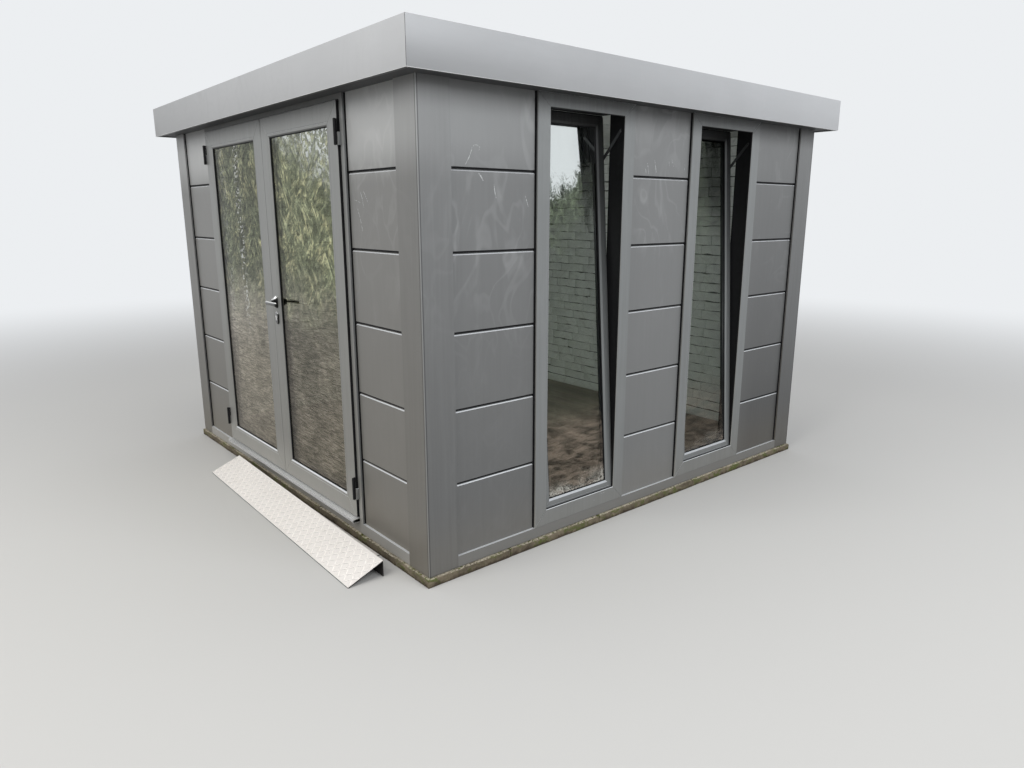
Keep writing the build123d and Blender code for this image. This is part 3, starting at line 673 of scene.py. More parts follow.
def oval(length, width, steps, centre):
    """Upright outline with two straight sides and round ends."""
    run, radius = (length - width) / 2, width / 2
    turns = [(end, math.pi * (k / steps + (end < 0))) for end in (1, -1) for k in range(steps + 1)]
    u, v = centre
    return [(u + radius * math.cos(t), v + end * run + radius * math.sin(t)) for end, t in turns]


def glaze(place, rect, lip, name, body, slots, s):
    """Gaskets on both faces of the glass in this opening, and the spacer between its panes."""
    g = s.gasket
    front = [(0, GLASS_FACE), (0, lip), (g * 0.6, lip - 0.0009), (g, -0.0105), (g, GLASS_FACE)]
    back = [(0, GLASS_BACK), (g, GLASS_BACK), (g, -0.0345), (g * 0.6, -0.037), (0, -0.038)]
    Piece(place).loop(rect, front).loop(rect, back).keep(name.format("gasket"), "rubber", body, slots[0])
    bar = [(0.0006, -0.015), (s.spacer, -0.015), (s.spacer, -0.029), (0.0006, -0.029)]
    Piece(place).loop(rect, bar).keep(name.format("spacer"), "dark_coat", body, slots[1])


# ---------------------------------------------------------------- operators
class PodOperator(bpy.types.Operator):
    """Common ground of the pod's operators."""

    bl_options = {"REGISTER", "UNDO"}


FRAME_FINISHES = (
    ("side_panel", "wall_paint"), ("front_panel", "wall_paint"), ("back_wall", "wall_paint"),
    ("left_wall", "wall_paint"), ("corner_post", "post_paint"), ("base_rail", "rail_paint"),
    ("fascia", "fascia_paint"), ("window_stay", "stay_metal"), ("door_glass", "door_glass"),
    ("window_glass", "window_glass"), ("door_lever", "handle_metal"), ("handle_plates", "handle_metal"),
    ("threshold", "dark_coat"), ("entry_ramp", "tread_plate"), ("roof_deck", "soffit_shade_lining"),
    ("floor_deck", "floor_wood"), ("plinth", "edging_stone"), ("", "frame_paint"),
)


class POD_OT_coat_frame(PodOperator):
    """Give every part of the frame that stays in view its finish"""

    bl_idname = "pod.coat_frame"
    bl_label = "Coat Frame"

    def execute(self, context):
        for name, node in NODES.items():
            finish = next(finish for start, finish in FRAME_FINISHES if name.startswith(start))
            node.data.materials.clear()
            node.data.materials.append(finish_of(finish))
        return {"FINISHED"}


# Walls with upright joints: face, left and right joint, bays, and how proud the neighbours stand
JOINTED = (
    (FRONT, -1.385, -0.942, 1, (0, 0)), (FRONT, 0.942, 1.385, 1, (0, 0)),
    (RIGHT, -1.385, -0.903, 1, (0, CASING_PROUD)), (RIGHT, -0.241, 0.241, 1, (CASING_PROUD, CASING_PROUD)),
    (RIGHT, 0.903, 1.385, 1, (CASING_PROUD, 0)), (BACK, -1.385, 1.385, 5, (0, 0)),
    (LEFT, -1.385, 1.385, 5, (0, 0)),
)
# Chalky marks on each face: width, and the points along it
MARKS = (
    (on_face((HALF - PANEL_SUNK, 0, 0), (0, 1, 0)), (
        (0.004, (-1.255, 1.95), (-1.266, 1.935), (-1.278, 1.905), (-1.29, 1.885), (-1.301, 1.869)),
        (0.003, (-1.255, 1.95), (-1.238, 1.95), (-1.221, 1.94), (-1.232, 1.926)),
        (0.007, (-1.232, 1.836), (-1.218, 1.822), (-1.206, 1.803)),
        (0.005, (-1.147, 1.79), (-1.143, 1.76), (-1.135, 1.732)),
        (0.004, (-0.965, 1.745), (-0.955, 1.72), (-0.947, 1.697)),
        (0.004, (-0.118, 1.927), (-0.108, 1.895), (-0.102, 1.869)),
        (0.003, (-0.133, 1.9), (-0.126, 1.882), (-0.122, 1.868)),
        (0.0045, (-0.058, 1.94), (-0.048, 1.905), (-0.041, 1.876)),
        (0.003, (0.062, 1.94), (0.068, 1.92), (0.072, 1.902)),
        (0.0035, (0.085, 1.952), (0.095, 1.93), (0.102, 1.914)),
        (0.0035, (0.198, 1.934), (0.2, 1.915), (0.201, 1.897)))),
    (on_face((0, -HALF + PANEL_SUNK, 0), (1, 0, 0)), (
        (0.0038, (1.049, 1.765), (1.064, 1.73), (1.075, 1.69)),
        (0.0038, (1.077, 1.766), (1.1, 1.735), (1.12, 1.702)),
        (0.003, (0.991, 1.727), (1.02, 1.722), (1.044, 1.714)),
        (0.0034, (1.009, 1.703), (1.034, 1.65), (1.056, 1.587)))),
    (on_face((HALF + CASING_PROUD, 0, 0), (0, 1, 0)), (
        (0.002, (-0.722, 0.141), (-0.712, 0.143), (-0.702, 0.144)),
        (0.002, (-0.69, 0.146), (-0.684, 0.147)),
        (0.0028, (-0.472, 0.136), (-0.462, 0.14)),
        (0.002, (-0.412, 0.163), (-0.4, 0.164), (-0.388, 0.166)))),
)


class POD_OT_fill_joints(PodOperator):
    """Black strips that paint the shade in the upright joints, on the neighbours' sides and in the backs of
    the grooves, and the marks on the panels
    """

    bl_idname = "pod.fill_joints"
    bl_label = "Joints and Marks"

    def execute(self, context):
        strips, marks = Piece(), Piece()
        low, high = RAIL_TOP + 0.0005, SOFFIT - 0.001
        deep, shallow, edge, wide = -0.0278, -0.0158, 0.0001, 0.0068
        for strips.place, left, right, bays, proud in JOINTED:
            for end, way, rise in ((left, 1, proud[0]), (right, -1, proud[1])):
                # Black strip down each joint and a black skin on the neighbour's side: painted shade.
                strips.block((end + way * edge, low, deep), (end + way * wide, high, shallow))
                strips.block((end + way * edge, low, -0.016), (end + way * 0.0011, high, rise - 0.0085))
            for n in range(1, bays):
                middle = left + (right - left) * n / bays
                strips.block((middle - wide / 2, low, deep), (middle + wide / 2, high, shallow))
            # Black strips in the backs of the grooves: painted shade.
            for n in range(1, 6):
                v = RAIL_TOP + GROOVE_PITCH * n
                strips.block((left + 0.0072, v - edge, -0.0219), (right - 0.0072, v + 0.0084, -0.0205))
        strips.keep("joint_shade_strips", "rubber", slot="wall_paint")
        for marks.place, lines in MARKS:
            for width, *points in lines:
                marks.ribbon(width, points)
        marks.keep("panel_marks", "chalk_mark", slot="wall_paint")
        return {"FINISHED"}


class POD_OT_edge_roof(PodOperator):
    """Fascia boards with folded lips, the ribbed roof sheet and its flashing"""

    bl_idname = "pod.edge_roof"
    bl_label = "Roof Edge and Sheet"

    def execute(self, context):
        fold, deep, gap = 0.0025, 0.02, 0.0011
        low, high = FASCIA_LOW, FASCIA_HIGH
        rect = (-ROOF_HALF, -ROOF_HALF, ROOF_HALF, ROOF_HALF)
        board = [
            (0, low + fold), (0, high - fold), (fold * 0.3, high - fold * 0.3), (fold, high), (deep, high),
            (deep, low), (fold, low), (fold * 0.3, low + fold * 0.3),
        ]
        Piece().loop(rect, board, gap).keep(
            "fascia_boards", "fascia_paint", slot="fascia_paint",
            replaces=("fascia_front", "fascia_right", "fascia_back", "fascia_left"))
        shadow = [(0.0012, low + 0.001), (0.0012, high - 0.001), (deep, high - 0.001), (deep, low + 0.001)]
        Piece().loop(rect, shadow).keep("fascia_joint_backing", "rubber", slot="fascia_paint")
        lip = [(0.0004, low + 0.0002), (0.0004, low + 0.0052), (0.0012, low + 0.0062), (deep, low + 0.0062),
               (deep, low + 0.0002)]
        Piece().loop(rect, lip, 0.0004).keep("fascia_lower_lip", "threshold_metal", slot="fascia_paint")
        # Ribbed sheet that falls inside the fascia
        edge, level, floor = ROOF_HALF - 0.0215, DECK_TOP, DECK_TOP + 0.0015
        outline = [(-edge, floor)]
        for n in range(14):
            x, top = (n - 6.5) * context.scene.pod_sizes.rib_pitch, level + 0.0237
            outline += [(x - 0.032, floor), (x - 0.014, top), (x + 0.014, top), (x + 0.032, floor)]
        outline += [(edge, floor)]
        under = [(u, w - 0.0012) for u, w in reversed(outline)]
        Piece(on_face((0, 0, 0), (1, 0, 0))).prism(outline + under, -edge, edge).keep(
            "roof_sheet", "roof_skin", slot="roof_paint", crease=20)
        flashing = [
            (0, level), (0, high - 0.012), (0.002, high - 0.01), (0.0035, high - 0.012),
            (0.0035, level + 0.006), (0.055, level + 0.0275), (0.055, level + 0.0262), (0.0045, level),
        ]
        inner = ROOF_HALF - deep - 0.0005
        Piece().loop((-inner, -inner, inner, inner), flashing, 0.0008).keep(
            "roof_flashing", "roof_skin", slot="roof_paint")
        return {"FINISHED"}


def stone(stones, a, b, deep, draw):
    """One stone, of rings that wander along the outer face."""
    count = max(4, int((b - a + 0.0024) / 0.035))
    top = PLINTH_TOP - draw.uniform(0, 0.0035)
    near = -PLINTH_HALF + draw.uniform(0, 0.0025)
    rings = []
    for level, inset in (
        (0.0, 0.0015), (0.012, 0.0005), (0.026, 0.001), (top - 0.006, 0.001), (top - 0.0006, 0.0055),
    ):
        start, end = a + inset, b - inset
        ring = []
        for k in range(count + 1):
            v = near + inset + draw.uniform(0, 0.0022)
            rise = draw.uniform(-0.0016, 0.0006) if level > 0.03 else 0
            ring.append((start + (end - start) * k / count, v, level + rise))
        far = near + deep
        rings.append(ring + [(end, far, level), (start, far, level)])
    stones.skin(rings)


class POD_OT_lay_plinth(PodOperator):
    """Edging stones, the bed between them and the moss in their joints"""

    bl_idname = "pod.lay_plinth"
    bl_label = "Plinth Stones"

    def execute(self, context):
        s, joints = context.scene.pod_sizes, []
        draw = random.Random(s.seed)
        stones, bed, moss = Piece(), Piece(), Piece()
        sides = [Matrix.Rotation(math.radians(turn), 4, "Z") for turn in (0, 90, 180, 270)]
        deep, gap, pitch = 0.12, 0.0012, 2 * PLINTH_HALF / s.stones
        for stones.place in sides:
            cuts = [-PLINTH_HALF]
            cuts += [-PLINTH_HALF + n * pitch + draw.uniform(-0.16, 0.16) for n in range(1, s.stones)]
            cuts += [PLINTH_HALF - deep]
            for a, b in zip(cuts, cuts[1:]):
                stone(stones, a + gap, b - gap, deep, draw)
                joints.append((stones.place.copy(), b))
        stones.keep("plinth_stones", "edging_stone", slot="plinth_stone", replaces=("plinth",), crease=50)
        inner = PLINTH_HALF - 0.1
        bed.block((-inner, -inner, 0.0), (inner, inner, PLINTH_TOP - 0.0004), 0.004)
        bed.keep("plinth_bed", "edging_stone", slot="plinth_stone")
        for moss.place, at in joints:
            for _ in range(9):
                size = draw.uniform(0.003, 0.0065)
                u, v = at + draw.gauss(0, 0.035), -PLINTH_HALF + draw.uniform(0.008, 0.014)
                moss.lump((u, v, PLINTH_TOP - 0.0055), (size * 1.6, size * 0.9, size * 0.75), draw)
        for moss.place in sides:
            for _ in range(46):
                size = draw.uniform(0.002, 0.005)
                u, v = draw.uniform(-1.52, 1.52), -PLINTH_HALF + draw.uniform(0.008, 0.0135)
                moss.lump((u, v, PLINTH_TOP - 0.0045), (size * 1.9, size * 0.9, size * 0.7), draw)
        moss.keep("plinth_moss", "moss", slot="plinth_stone", crease=80)
        return {"FINISHED"}


def casing(s, name, middle):
    """Casing, near-black lining and surround that paint the shade in the reveal, and the seals round the
    sash.
    """
    side, proud, web, wall = CASING_SIDE, CASING_PROUD, -0.01, -0.06
    profile = [
        (0, wall), (0, proud - 0.0014), (0.0014, proud), (side - 0.002, proud), (side, proud - 0.002),
        (side, web), (0.06, web), (0.06, wall),
    ]
    rect = (middle - CASING_HALF, RAIL_TOP, middle + CASING_HALF, SOFFIT)
    Piece(RIGHT).loop(rect, profile, s.mitre_gap, (1, CASING_SILL / side, 1, CASING_HEAD / side)).keep(
        f"casing_{name}", "frame_paint", slot="window_paint", replaces=(f"window_casing_{name}",))
    left, right = middle - REBATE_HALF, middle + REBATE_HALF
    # Near-black lining of the reveal: painted shade.
    lining = [(0.0002, web - 0.0005), (0.0035, web - 0.0005), (0.0035, -0.0585), (0.0002, -0.0585)]
    Piece(RIGHT).loop((left, REBATE_LOW, right, REBATE_HIGH), lining).keep(
        f"reveal_shade_lining_{name}", "rubber", slot="window_paint")
    # Near-black surround with a head block on the room's side: painted shade.
    outer = (left - 0.012, REBATE_LOW - 0.012, right + 0.012, REBATE_HIGH + 0.012)
    back = [(0.0002, -0.0602), (0.0118, -0.0602), (0.0118, -0.115), (0.0002, -0.115)]
    surround = Piece(RIGHT).loop(outer, back)
    surround.block((left, REBATE_HIGH + 0.0004, -0.168), (right, REBATE_HIGH + 0.0116, -0.1154))
    surround.keep(f"reveal_shade_frame_{name}", "rubber", slot="window_paint")
    half, seal = 0.253 + 0.0135, 0.0135
    rim = [(seal, -0.0098), (seal, -0.001), (0.015, -0.0012), (0.015, -0.0098)]
    Piece(RIGHT).loop((middle - half, 0.18 - seal, middle + half, 2.137 + seal), rim).keep(
        f"casing_edge_seal_{name}", "rubber", slot="window_paint")
    low, high, top = web - 0.0032, web - 0.0002, 2.15
    landing = Piece(RIGHT).block((middle - SASH_HALF, 2.1365, low), (middle + SASH_HALF, top, high), 0.0008)
    for edge in (-1, 1):
        u = middle + edge * SASH_HALF
        landing.block((u, 1.0, low), (u + edge * 0.006, top, high), 0.0008)
    landing.keep(f"landing_seal_{name}", "rubber", slot="window_paint")


def sash(s, name, middle):
    """Leaning sash with its glazing, hinges, brush and handle."""
    lean = (-math.sin(SASH_LEAN), 0, math.cos(SASH_LEAN))
    face = on_face((SASH_FACE, middle, SASH_FOOT), (0, 1, 0), lean)
    half, top, stile, deep = SASH_HALF, SASH_TALL, SASH_STILE, SASH_DEEP
    profile = [
        (0, -deep), (0, -0.0012), (0.0012, 0), (0.0155, 0), (0.016, -0.0008), (0.017, -0.0008), (0.0175, 0),
        (0.0395, 0), (0.0405, -0.001), (0.049, -0.0055), (stile, -0.0065), (stile, -deep),
    ]
    Piece(face).loop((-half, 0, half, top), profile, s.mitre_gap).keep(
        f"sash_{name}", "sash_paint", slot="window_paint", replaces=(f"window_sash_{name}",))
    glaze(face, (-half + stile, stile, half - stile, top - stile), -0.0066, f"sash_{{}}_{name}", BODY,
          ("window_paint", "stay_steel"), s)
    handle = Piece(face)
    handle.block((-0.055, top - 0.036, -deep - 0.006), (0.055, top - 0.014, -deep), 0.002)
    handle.block((-0.009, top - 0.14, -deep - 0.028), (0.009, top - 0.03, -deep - 0.016), 0.004)
    handle.turned((0, top - 0.026, -deep - 0.0215), (0, 0, 1), [(0.008, 0.0), (0.008, 0.018)])
    handle.keep(f"sash_handle_{name}", "dark_coat", slot="stay_steel")
    inner = half - 0.001
    Piece(face).block((-inner, top + 0.0002, -0.036), (inner, top + 0.0068, -0.004), 0.0006).keep(
        f"sash_brush_{name}", "rubber", slot="window_paint")
    hinges = Piece(face)
    pin = [(0.0045, 0.0), (0.005, 0.001), (0.005, 0.059), (0.0045, 0.06)]
    for u in (-0.2, 0.2):
        hinges.turned((u - 0.03, 0.008, -deep - 0.005), (1, 0, 0), pin, 14)
        hinges.block((u - 0.028, 0.008, -deep - 0.002), (u + 0.028, 0.036, -deep), 0.0008)
    hinges.keep(f"sash_hinges_{name}", "dark_coat", slot="stay_steel")


def rivets(name):
    """Rivets at both ends of the stay."""
    low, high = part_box(f"window_stay_{name}")
    inset, rivets = 0.008, Piece()
    heads = [(0.0, 0.0), (0.003, 0.0003), (0.0045, 0.0012)]
    heads += [(0.0045, 0.0072), (0.003, 0.0081), (0.0, 0.0084)]
    for x, z in ((low.x + inset, low.z + inset), (high.x - inset, high.z - inset)):
        rivets.turned((x, (low.y + high.y) / 2 - 0.0042, z), (0, 1, 0), heads, 14)
    rivets.keep(f"stay_rivets_{name}", "handle_metal", slot="stay_steel")


class POD_OT_fit_windows(PodOperator):
    """Casings, tilted sashes, gaskets, spacers, stays and window handles"""

    bl_idname = "pod.fit_windows"
    bl_label = "Windows"

    def execute(self, context):
        for name, middle in WINDOWS.items():
            casing(context.scene.pod_sizes, name, middle)
            sash(context.scene.pod_sizes, name, middle)
            rivets(name)
        return {"FINISHED"}


def edges(name, side, body):
    """Seal on the meeting edge, brush under the leaf and the seals on the frame."""
    near, back = 0.0008 if side > 0 else 0.003, -0.04
    seal = Piece(LEAF)
    seal.block((side * near, LEAF_LOW + 0.003, back), (side * 0.0042, LEAF_HIGH - 0.003, -0.006), 0.0006)
    seal.block((side * 0.02, LEAF_LOW - 0.0035, -0.034), (side * 0.89, LEAF_LOW + 0.001, -0.02), 0.001)
    outer = side * (LEAF_OUT + 0.0008)
    seal.block((side * LEAF_OUT, LEAF_LOW + 0.002, back), (outer, LEAF_HIGH - 0.002, -0.0014))
    seal.keep(f"leaf_edge_seal_{name}", "rubber", body, "frame_paint")
    if side > 0:
        cover = Piece(LEAF)
        cover.block((-0.003, LEAF_LOW + 0.002, -0.003), (0.0125, LEAF_HIGH - 0.002, 0.001), 0.0005)
        cover.keep("meeting_cover", "frame_paint", body, "frame_paint")
    corner = (side * JAMB_IN, HEAD_Z - 0.002, -0.003)
    Piece(FRONT).block((side * 0.9062, SILL_TOP + 0.002, -0.05), corner, 0.0006).keep(
        f"jamb_seal_{name}", "rubber", slot="frame_paint")


def caps(name, side, body):
    """Slim black barrels, with black straps on the leaf and straps in the paint of the doors on the frame."""
    barrel = [
        (0.0, 0.0), (0.0074, 0.0), (0.0078, 0.001), (0.0078, HINGE_HALF - 0.0035),
        (0.0066, HINGE_HALF - 0.0012), (0.004, HINGE_HALF),
    ]
    screw = [(0.0017, -0.0003), (0.0015, 0.0006), (0.0, 0.0009)]
    for way, end, node, finish, rider, place, deep in (
        (1, "upper", "knuckles", "rubber", body, LEAF, 0.003),
        (-1, "lower", "pins", "frame_paint", BODY, FRONT, 0.0155),
    ):
        barrels, straps = Piece(), Piece(place)
        for middle in HINGE_MIDDLES:
            at = middle + way * 0.0002
            barrels.turned((side * HINGE_X, HINGE_Y, at), (0, 0, way), barrel, 20)
            straps.block((side * (HINGE_X - way * 0.0008), at + way * 0.0006, 0.0),
                         (side * (HINGE_X - way * 0.0132), at + way * (HINGE_HALF - 0.001), deep), 0.0006)
            for rise in (0.016, 0.043):
                centre = (side * (HINGE_X - way * 0.0092), middle + way * rise, deep)
                straps.turned(centre, (0, 0, 1), screw, 10)
        barrels.keep(f"hinge_barrels_{end}_{name}", "rubber", rider, "hinge_paint", (f"hinge_{node}_{name}",))
        straps.keep(f"hinge_straps_{end}_{name}", finish, rider, "hinge_paint")


class POD_OT_hang_doors(PodOperator):
    """Door leaves with mitred rails, gaskets, spacers, seals and hinge caps"""

    bl_idname = "pod.hang_doors"
    bl_label = "Doors"

    def execute(self, context):
        s, stile, deep = context.scene.pod_sizes, LEAF_STILE, LEAF_DEEP
        profile = [
            (0, -deep), (0, -0.0012), (0.0012, 0), (0.085, 0), (0.0856, -0.0012), (0.0872, -0.0012),
            (0.0878, 0), (0.0985, 0), (0.1, -0.0012), (0.104, -0.0048), (stile, -0.0062), (stile, -deep),
        ]
        for name, side in (("left", -1), ("right", 1)):
            body = f"door_leaf_{name}"
            a, b = sorted((side * LEAF_IN, side * LEAF_OUT))
            Piece(LEAF).loop((a, LEAF_LOW, b, LEAF_HIGH), profile, s.mitre_gap).keep(
                f"leaf_{name}", "frame_paint", body, "frame_paint", (body,))
            glaze(LEAF, (a + stile, LEAF_LOW + stile, b - stile, LEAF_HIGH - stile), -0.0063,
                  f"leaf_{{}}_{name}", body, ("frame_paint", "handle_steel"), s)
            edges(name, side, body)
            caps(name, side, body)
        return {"FINISHED"}


class POD_OT_fit_handles(PodOperator):
    """Swept levers, oval roses and key plates on both faces of the right leaf"""

    bl_idname = "pod.fit_handles"
    bl_label = "Lever and Plates"

    def execute(self, context):
        spindle = [
            (0.0088, 0.0), (0.0088, 0.01), (0.0082, 0.014), (0.0074, 0.03), (0.0076, 0.046), (0.0088, 0.054),
            (0.006, 0.06), (0.0, 0.061),
        ]
        # The lever's bar as (along, out from the leaf, share of the radius)
        bar = (
            (-0.0098, 0.0585, 0.35), (-0.008, 0.0592, 0.7), (-0.003, 0.06, 0.98), (0.01, 0.0606, 1.0),
            (0.03, 0.0606, 0.98), (0.055, 0.0602, 0.94), (0.08, 0.0592, 0.9), (0.1, 0.0578, 0.88),
            (0.114, 0.0562, 0.84), (0.121, 0.055, 0.62), (0.1238, 0.0545, 0.25),
        )
        # Rings of both plates as (share of the outline, height)
        flared = (
            (1.0, 0.0), (1.0, 0.0045), (0.95, 0.0075), (0.82, 0.012), (0.66, 0.0185), (0.54, 0.026),
            (0.47, 0.034),
        )
        flat = ((1.0, 0.0), (1.0, 0.0052), (0.975, 0.0068), (0.9, 0.0079), (0.5, 0.008))
        collar = [(0.0082, 0.0), (0.0082, 0.0045), (0.0076, 0.0052)]
        lever, plates, keys, slits = Piece(), Piece(), Piece(), Piece()
        for face, way in ((LEAF, 1), (LEAF_INNER, -1)):
            u = way * LEVER_X
            for piece in (lever, plates, keys, slits):
                piece.place = face
            lever.turned((u, LEVER_Z, 0.0), (0, 0, 1), spindle)
            lever.tube([(u + way * x, LEVER_Z, w) for x, w, _ in bar], 0.0066, [share for _, _, share in bar])
            for z, rings in ((LEVER_Z, flared), (KEY_Z, flat)):
                outline = oval(0.072, 0.034, 10, (0, 0))
                plates.skin([[(u + x * share, z + y * share, w) for x, y in outline] for share, w in rings])
            keys.prism(oval(0.0245, 0.0098, 6, (u, KEY_Z - 0.002)), 0.006, 0.0105, 0.0005)
            keys.turned((u, KEY_Z + 0.006, 0.006), (0, 0, 1), collar, 22)
            slits.block((u - 0.0008, KEY_Z + 0.0015, 0.01), (u + 0.0008, KEY_Z + 0.0105, 0.0116), 0.0002)
        leaf, slot = "door_leaf_right", "handle_steel"
        lever.keep("lever_pair", "handle_metal", "door_lever", slot, ("door_lever",), 50)
        plates.keep("oval_plates", "handle_metal", leaf, slot, ("handle_plates",), 40)
        keys.keep("lock_cylinders", "threshold_metal", leaf, slot)
        slits.keep("key_slits", "rubber", leaf, slot)
        return {"FINISHED"}


class POD_OT_lay_entry(PodOperator):
    """Ribs on the threshold and the raised bars of the ramp's tread plate"""

    bl_idname = "pod.lay_entry"
    bl_label = "Threshold and Ramp"

    def execute(self, context):
        half, lip = THRESHOLD_HALF, THRESHOLD_LIP
        ribs = Piece(on_face((0, lip, 0.119), (1, 0, 0), (0, 0.038, 0.006)))
        for n in range(6):
            v = 0.0012 + n * 0.0062
            ribs.block((-half, v, -0.0002), (half, v + 0.005, 0.0012), 0.0004)
        ribs.place = on_face((0, lip, 0.107), (1, 0, 0))
        for low, high in ((0.0002, 0.0056), (0.0066, 0.012)):
            ribs.block((-half, low, -0.001), (half, high, 0.0002), 0.0004)
        ribs.place = PLAN
        for side in (-1, 1):
            ribs.block((side * 0.9072, lip - 0.001, 0.104), (side * 0.909, -HALF - 0.0005, 0.1262), 0.0004)
        ribs.keep("threshold_ribs", "threshold_metal", slot="threshold_aluminium")
        s = context.scene.pod_sizes
        draw, bars = random.Random(s.seed + 3), Piece(RAMP)
        run, pitch, half, thick = RAMP_RUN.length, s.stud_pitch, s.stud_length / 2, 0.0029
        shape = [
            (-half, 0), (-half * 0.5, -thick), (half * 0.5, -thick), (half, 0), (half * 0.5, thick),
            (-half * 0.5, thick),
        ]
        columns, rows = int(2 * RAMP_HALF / pitch), int(run / pitch)
        for i in range(columns):
            for j in range(rows):
                turn = math.radians(45 if (i + j) % 2 else -45) + draw.uniform(-0.03, 0.03)
                cu, cv = (i - (columns - 1) / 2) * pitch, run / 2 + (j - (rows - 1) / 2) * pitch
                c, n = math.cos(turn), math.sin(turn)
                turned = [(x * c - y * n, x * n + y * c) for x, y in shape]
                bars.skin([
                    [(cu + x * share, cv + y * share, w) for x, y in turned]
                    for share, w in ((1.0, -0.0003), (0.93, 0.0007), (0.66, 0.0014))
                ])
        bars.keep("ramp_tread_bars", "tread_bars", slot="ramp_aluminium", crease=60)
        # Near-black sheet under the tread plate: painted shade.
        end = RAMP_HALF - 0.002
        Piece(RAMP).block((-end, 0.014, -0.0065), (end, run - 0.003, -0.0045)).keep(
            "ramp_underside_shade", "rubber", slot="ramp_aluminium")
        return {"FINISHED"}


def block_face(wall, a, b, low, high, draw):
    """One rough block with an uneven outline."""
    count, rough = max(2, int((b - a) / 0.05)), 0.0035
    points = [(b - a) * k / count for k in range(count + 1)]
    outline = [(a + u, low + max(0.0, draw.gauss(0, rough))) for u in points]
    outline += [(b - u, high - max(0.0, draw.gauss(0, rough))) for u in points]
    cu, cv, narrow = (a + b) / 2, (low + high) / 2, 1 - 0.006 / (b - a)
    proud = draw.uniform(0.007, 0.0105)
    wall.skin([
        [(u, v, 0.002) for u, v in outline],
        [(u, v, proud - 0.003) for u, v in outline],
        [(cu + (u - cu) * narrow, cv + (v - cv) * 0.93, proud) for u, v in outline],
    ])


class POD_OT_line_room(PodOperator):
    """Blocks on the two far walls, boards on the floor, skirting and ceiling battens"""

    bl_idname = "pod.line_room"
    bl_label = "Room Lining"

    def execute(self, context):
        s = context.scene.pod_sizes
        draw = random.Random(s.seed + 7)
        back, left, right = (
            on_face(origin, along) for origin, along in (
                ((0, INSIDE, 0), (1, 0, 0)), ((-INSIDE, 0, 0), (0, 1, 0)), ((INSIDE, 0, 0), (0, -1, 0))))
        half = INSIDE - 0.012
        for name, place in (("back", back), ("left", left)):
            Piece(place).block((-half, RAIL_TOP + 0.004, 0.0002), (half, SOFFIT - 0.002, 0.0048)).keep(
                f"room_backing_{name}", "joint_shadow", slot="wall_paint")
            wall, z, row = Piece(place), RAIL_TOP + 0.075, 0
            while z < SOFFIT - 0.03:
                top = min(z + s.course, SOFFIT - 0.004)
                u = -half - (row % 2) * s.block / 2 - draw.uniform(0, 0.05)
                while u < half:
                    run = s.block * draw.uniform(0.8, 1.25)
                    a, b = max(u, -half), min(u + run, half)
                    if b - a > 0.03:
                        block_face(wall, a + 0.0006, b - 0.0006, z + 0.0004, top - 0.0004, draw)
                    u += run
                z, row = z + s.course, row + 1
            wall.keep(f"room_blocks_{name}", "painted_blocks", slot="wall_paint", crease=50)
        floor, ceiling, boards = Piece(), Piece(), Piece()
        edge, v = INSIDE - 0.002, -INSIDE + 0.002
        while v < INSIDE - 0.01:
            low, high = v + 0.0008, min(v + s.board, edge) - 0.0008
            floor.block((-edge, low, RAIL_TOP), (edge, high, RAIL_TOP + 0.004), 0.0008)
            v += s.board
        floor.keep("room_floor_boards", "floor_wood", slot="floor")
        for n in range(7):
            x, end = -1.35 + n * 0.45, INSIDE - 0.003
            ceiling.block((x - 0.012, -end, SOFFIT - 0.008), (x + 0.012, end, SOFFIT - 0.0002), 0.002)
        ceiling.block((-edge, -edge, SOFFIT - 0.004), (edge, edge, SOFFIT - 0.0001))
        ceiling.keep("room_ceiling", "painted_blocks", slot="roof_paint")
        end, windows = INSIDE - 0.014, (-0.9, -0.24, 0.24, 0.9)
        for boards.place, cuts in ((back, ()), (left, ()), (right, windows)):
            cuts = (-end, *cuts, end)
            for a, b in zip(cuts[::2], cuts[1::2]):
                boards.block((a, RAIL_TOP + 0.0045, 0.0002), (b, RAIL_TOP + 0.07, 0.014), 0.003)
        boards.keep("room_skirting", "painted_blocks", slot="wall_paint")
        return {"FINISHED"}


BACKDROP = (0.84, 0.86, 0.88, 1)
# Area lamps: name, place, aim, size, power, tint
LAMPS = (
    ("key_lamp", (1.5, -7.5, 6.5), (0.6, -1.0, 1.3), 5.0, 330, (1.0, 0.985, 0.95)),
    ("side_lamp", (8.0, 0.5, 6.0), (1.0, 0.2, 1.3), 5.0, 300, (0.96, 0.98, 1.0)),
    ("top_lamp", (0.0, 0.0, 8.0), (0.0, 0.0, 2.0), 5.0, 120, (1.0, 0.99, 0.975)),
    ("room_lamp", (1.0, -1.0, 1.9), (-1.4, 0.9, 0.8), 0.8, 9, (0.97, 0.99, 1.0)),
)
CAMERA_PLACE, CAMERA_TURN = (4.0971, -3.2058, 1.6668), (math.pi / 2 - 0.2315, 0.0, 0.8697)


def seen(g):
    """1 for the rays that show the surroundings: from the camera, in a mirror or through glass."""
    camera, mirror, glass = (
        g.node("LightPath", output=f"Is {kind} Ray") for kind in ("Camera", "Glossy", "Transmission"))
    return camera.most(mirror).most(glass)


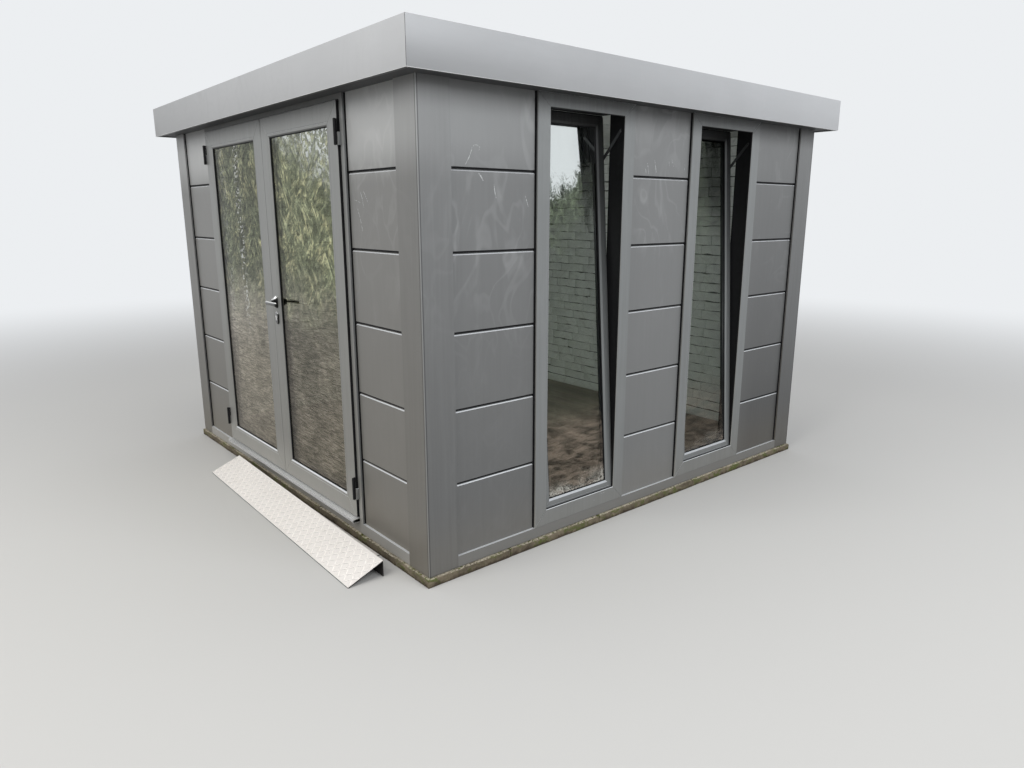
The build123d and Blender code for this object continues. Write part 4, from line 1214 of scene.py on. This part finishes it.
class POD_OT_set_stage(PodOperator):
    """Floor, soft lamps, pale surroundings and the camera at the viewing angle"""

    bl_idname = "pod.set_stage"
    bl_label = "Stage"

    def execute(self, context):
        floor, mesh = bmesh.new(), bpy.data.meshes.new("stage_floor")
        bmesh.ops.create_grid(floor, x_segments=8, y_segments=8, size=40)
        floor.to_mesh(mesh)
        floor.free()
        ground = linked("stage_floor", mesh)
        ground.location.z = -0.0005
        g = Graph(bpy.data.materials.new("stage_floor"))
        near = g.surface((0.62, 0.61, 0.59, 1), 0.9, specular=0.1)
        far = g.node("Emission", None, {"Color": BACKDROP, "Strength": 1.0})
        away = g.node("VectorMath", {"operation": "LENGTH"}, {0: g.place()}, "Value")
        mesh.materials.append(g.finish(g.mixed(g.step(away, 3.2, 12.0) * seen(g), near, far)))
        g = Graph(bpy.data.worlds.new("stage_world"))
        light, backdrop = (
            g.node("Background", None, {"Color": colour, "Strength": strength})
            for colour, strength in (((0.93, 0.96, 1.0, 1), 0.55), (BACKDROP, 1.0)))
        context.scene.world = g.finish(g.mixed(seen(g), light, backdrop), "World")
        for name, place, aim, size, power, tint in LAMPS:
            lamp = bpy.data.lights.new(name, "AREA")
            lamp.size, lamp.energy, lamp.color = size, power, tint
            holder = linked(name, lamp)
            holder.location = place
            holder.rotation_euler = (Vector(aim) - Vector(place)).to_track_quat("-Z", "Y").to_euler()
        camera = bpy.data.cameras.new("camera")
        camera.sensor_width, camera.lens, camera.clip_end = 36.0, 25.44, 200.0
        holder = linked("camera", camera)
        holder.location, holder.rotation_euler = CAMERA_PLACE, CAMERA_TURN
        context.scene.camera = holder
        context.scene.view_settings.view_transform = "Standard"
        return {"FINISHED"}


OPERATORS = (
    POD_OT_set_stage, POD_OT_coat_frame, POD_OT_fill_joints, POD_OT_edge_roof, POD_OT_lay_plinth,
    POD_OT_fit_windows, POD_OT_hang_doors, POD_OT_fit_handles, POD_OT_lay_entry, POD_OT_line_room,
)


class POD_PT_sidebar(bpy.types.Panel):
    """Finishes, sizes and the steps that dress the pod"""

    bl_idname = "POD_PT_sidebar"
    bl_label = "Garden Pod"
    bl_space_type = "VIEW_3D"
    bl_region_type = "UI"
    bl_category = "Garden Pod"

    def draw(self, context):
        for settings in (context.scene.pod_colours, context.scene.pod_sizes):
            column = self.layout.column()
            for name in settings.__annotations__:
                column.prop(settings, name)
        for operator in OPERATORS:
            self.layout.operator(operator.bl_idname)


CLASSES = (PodColours, PodSizes, *OPERATORS, POD_PT_sidebar)


def register():
    for cls in CLASSES:
        bpy.utils.register_class(cls)
    bpy.types.Scene.pod_colours = PointerProperty(type=PodColours)
    bpy.types.Scene.pod_sizes = PointerProperty(type=PodSizes)


def unregister():
    del bpy.types.Scene.pod_sizes, bpy.types.Scene.pod_colours
    for cls in reversed(CLASSES):
        bpy.utils.unregister_class(cls)


def main():
    register()
    for operator in OPERATORS:
        group, name = operator.bl_idname.split(".")
        getattr(getattr(bpy.ops, group), name)()


if __name__ == "__main__":
    main()
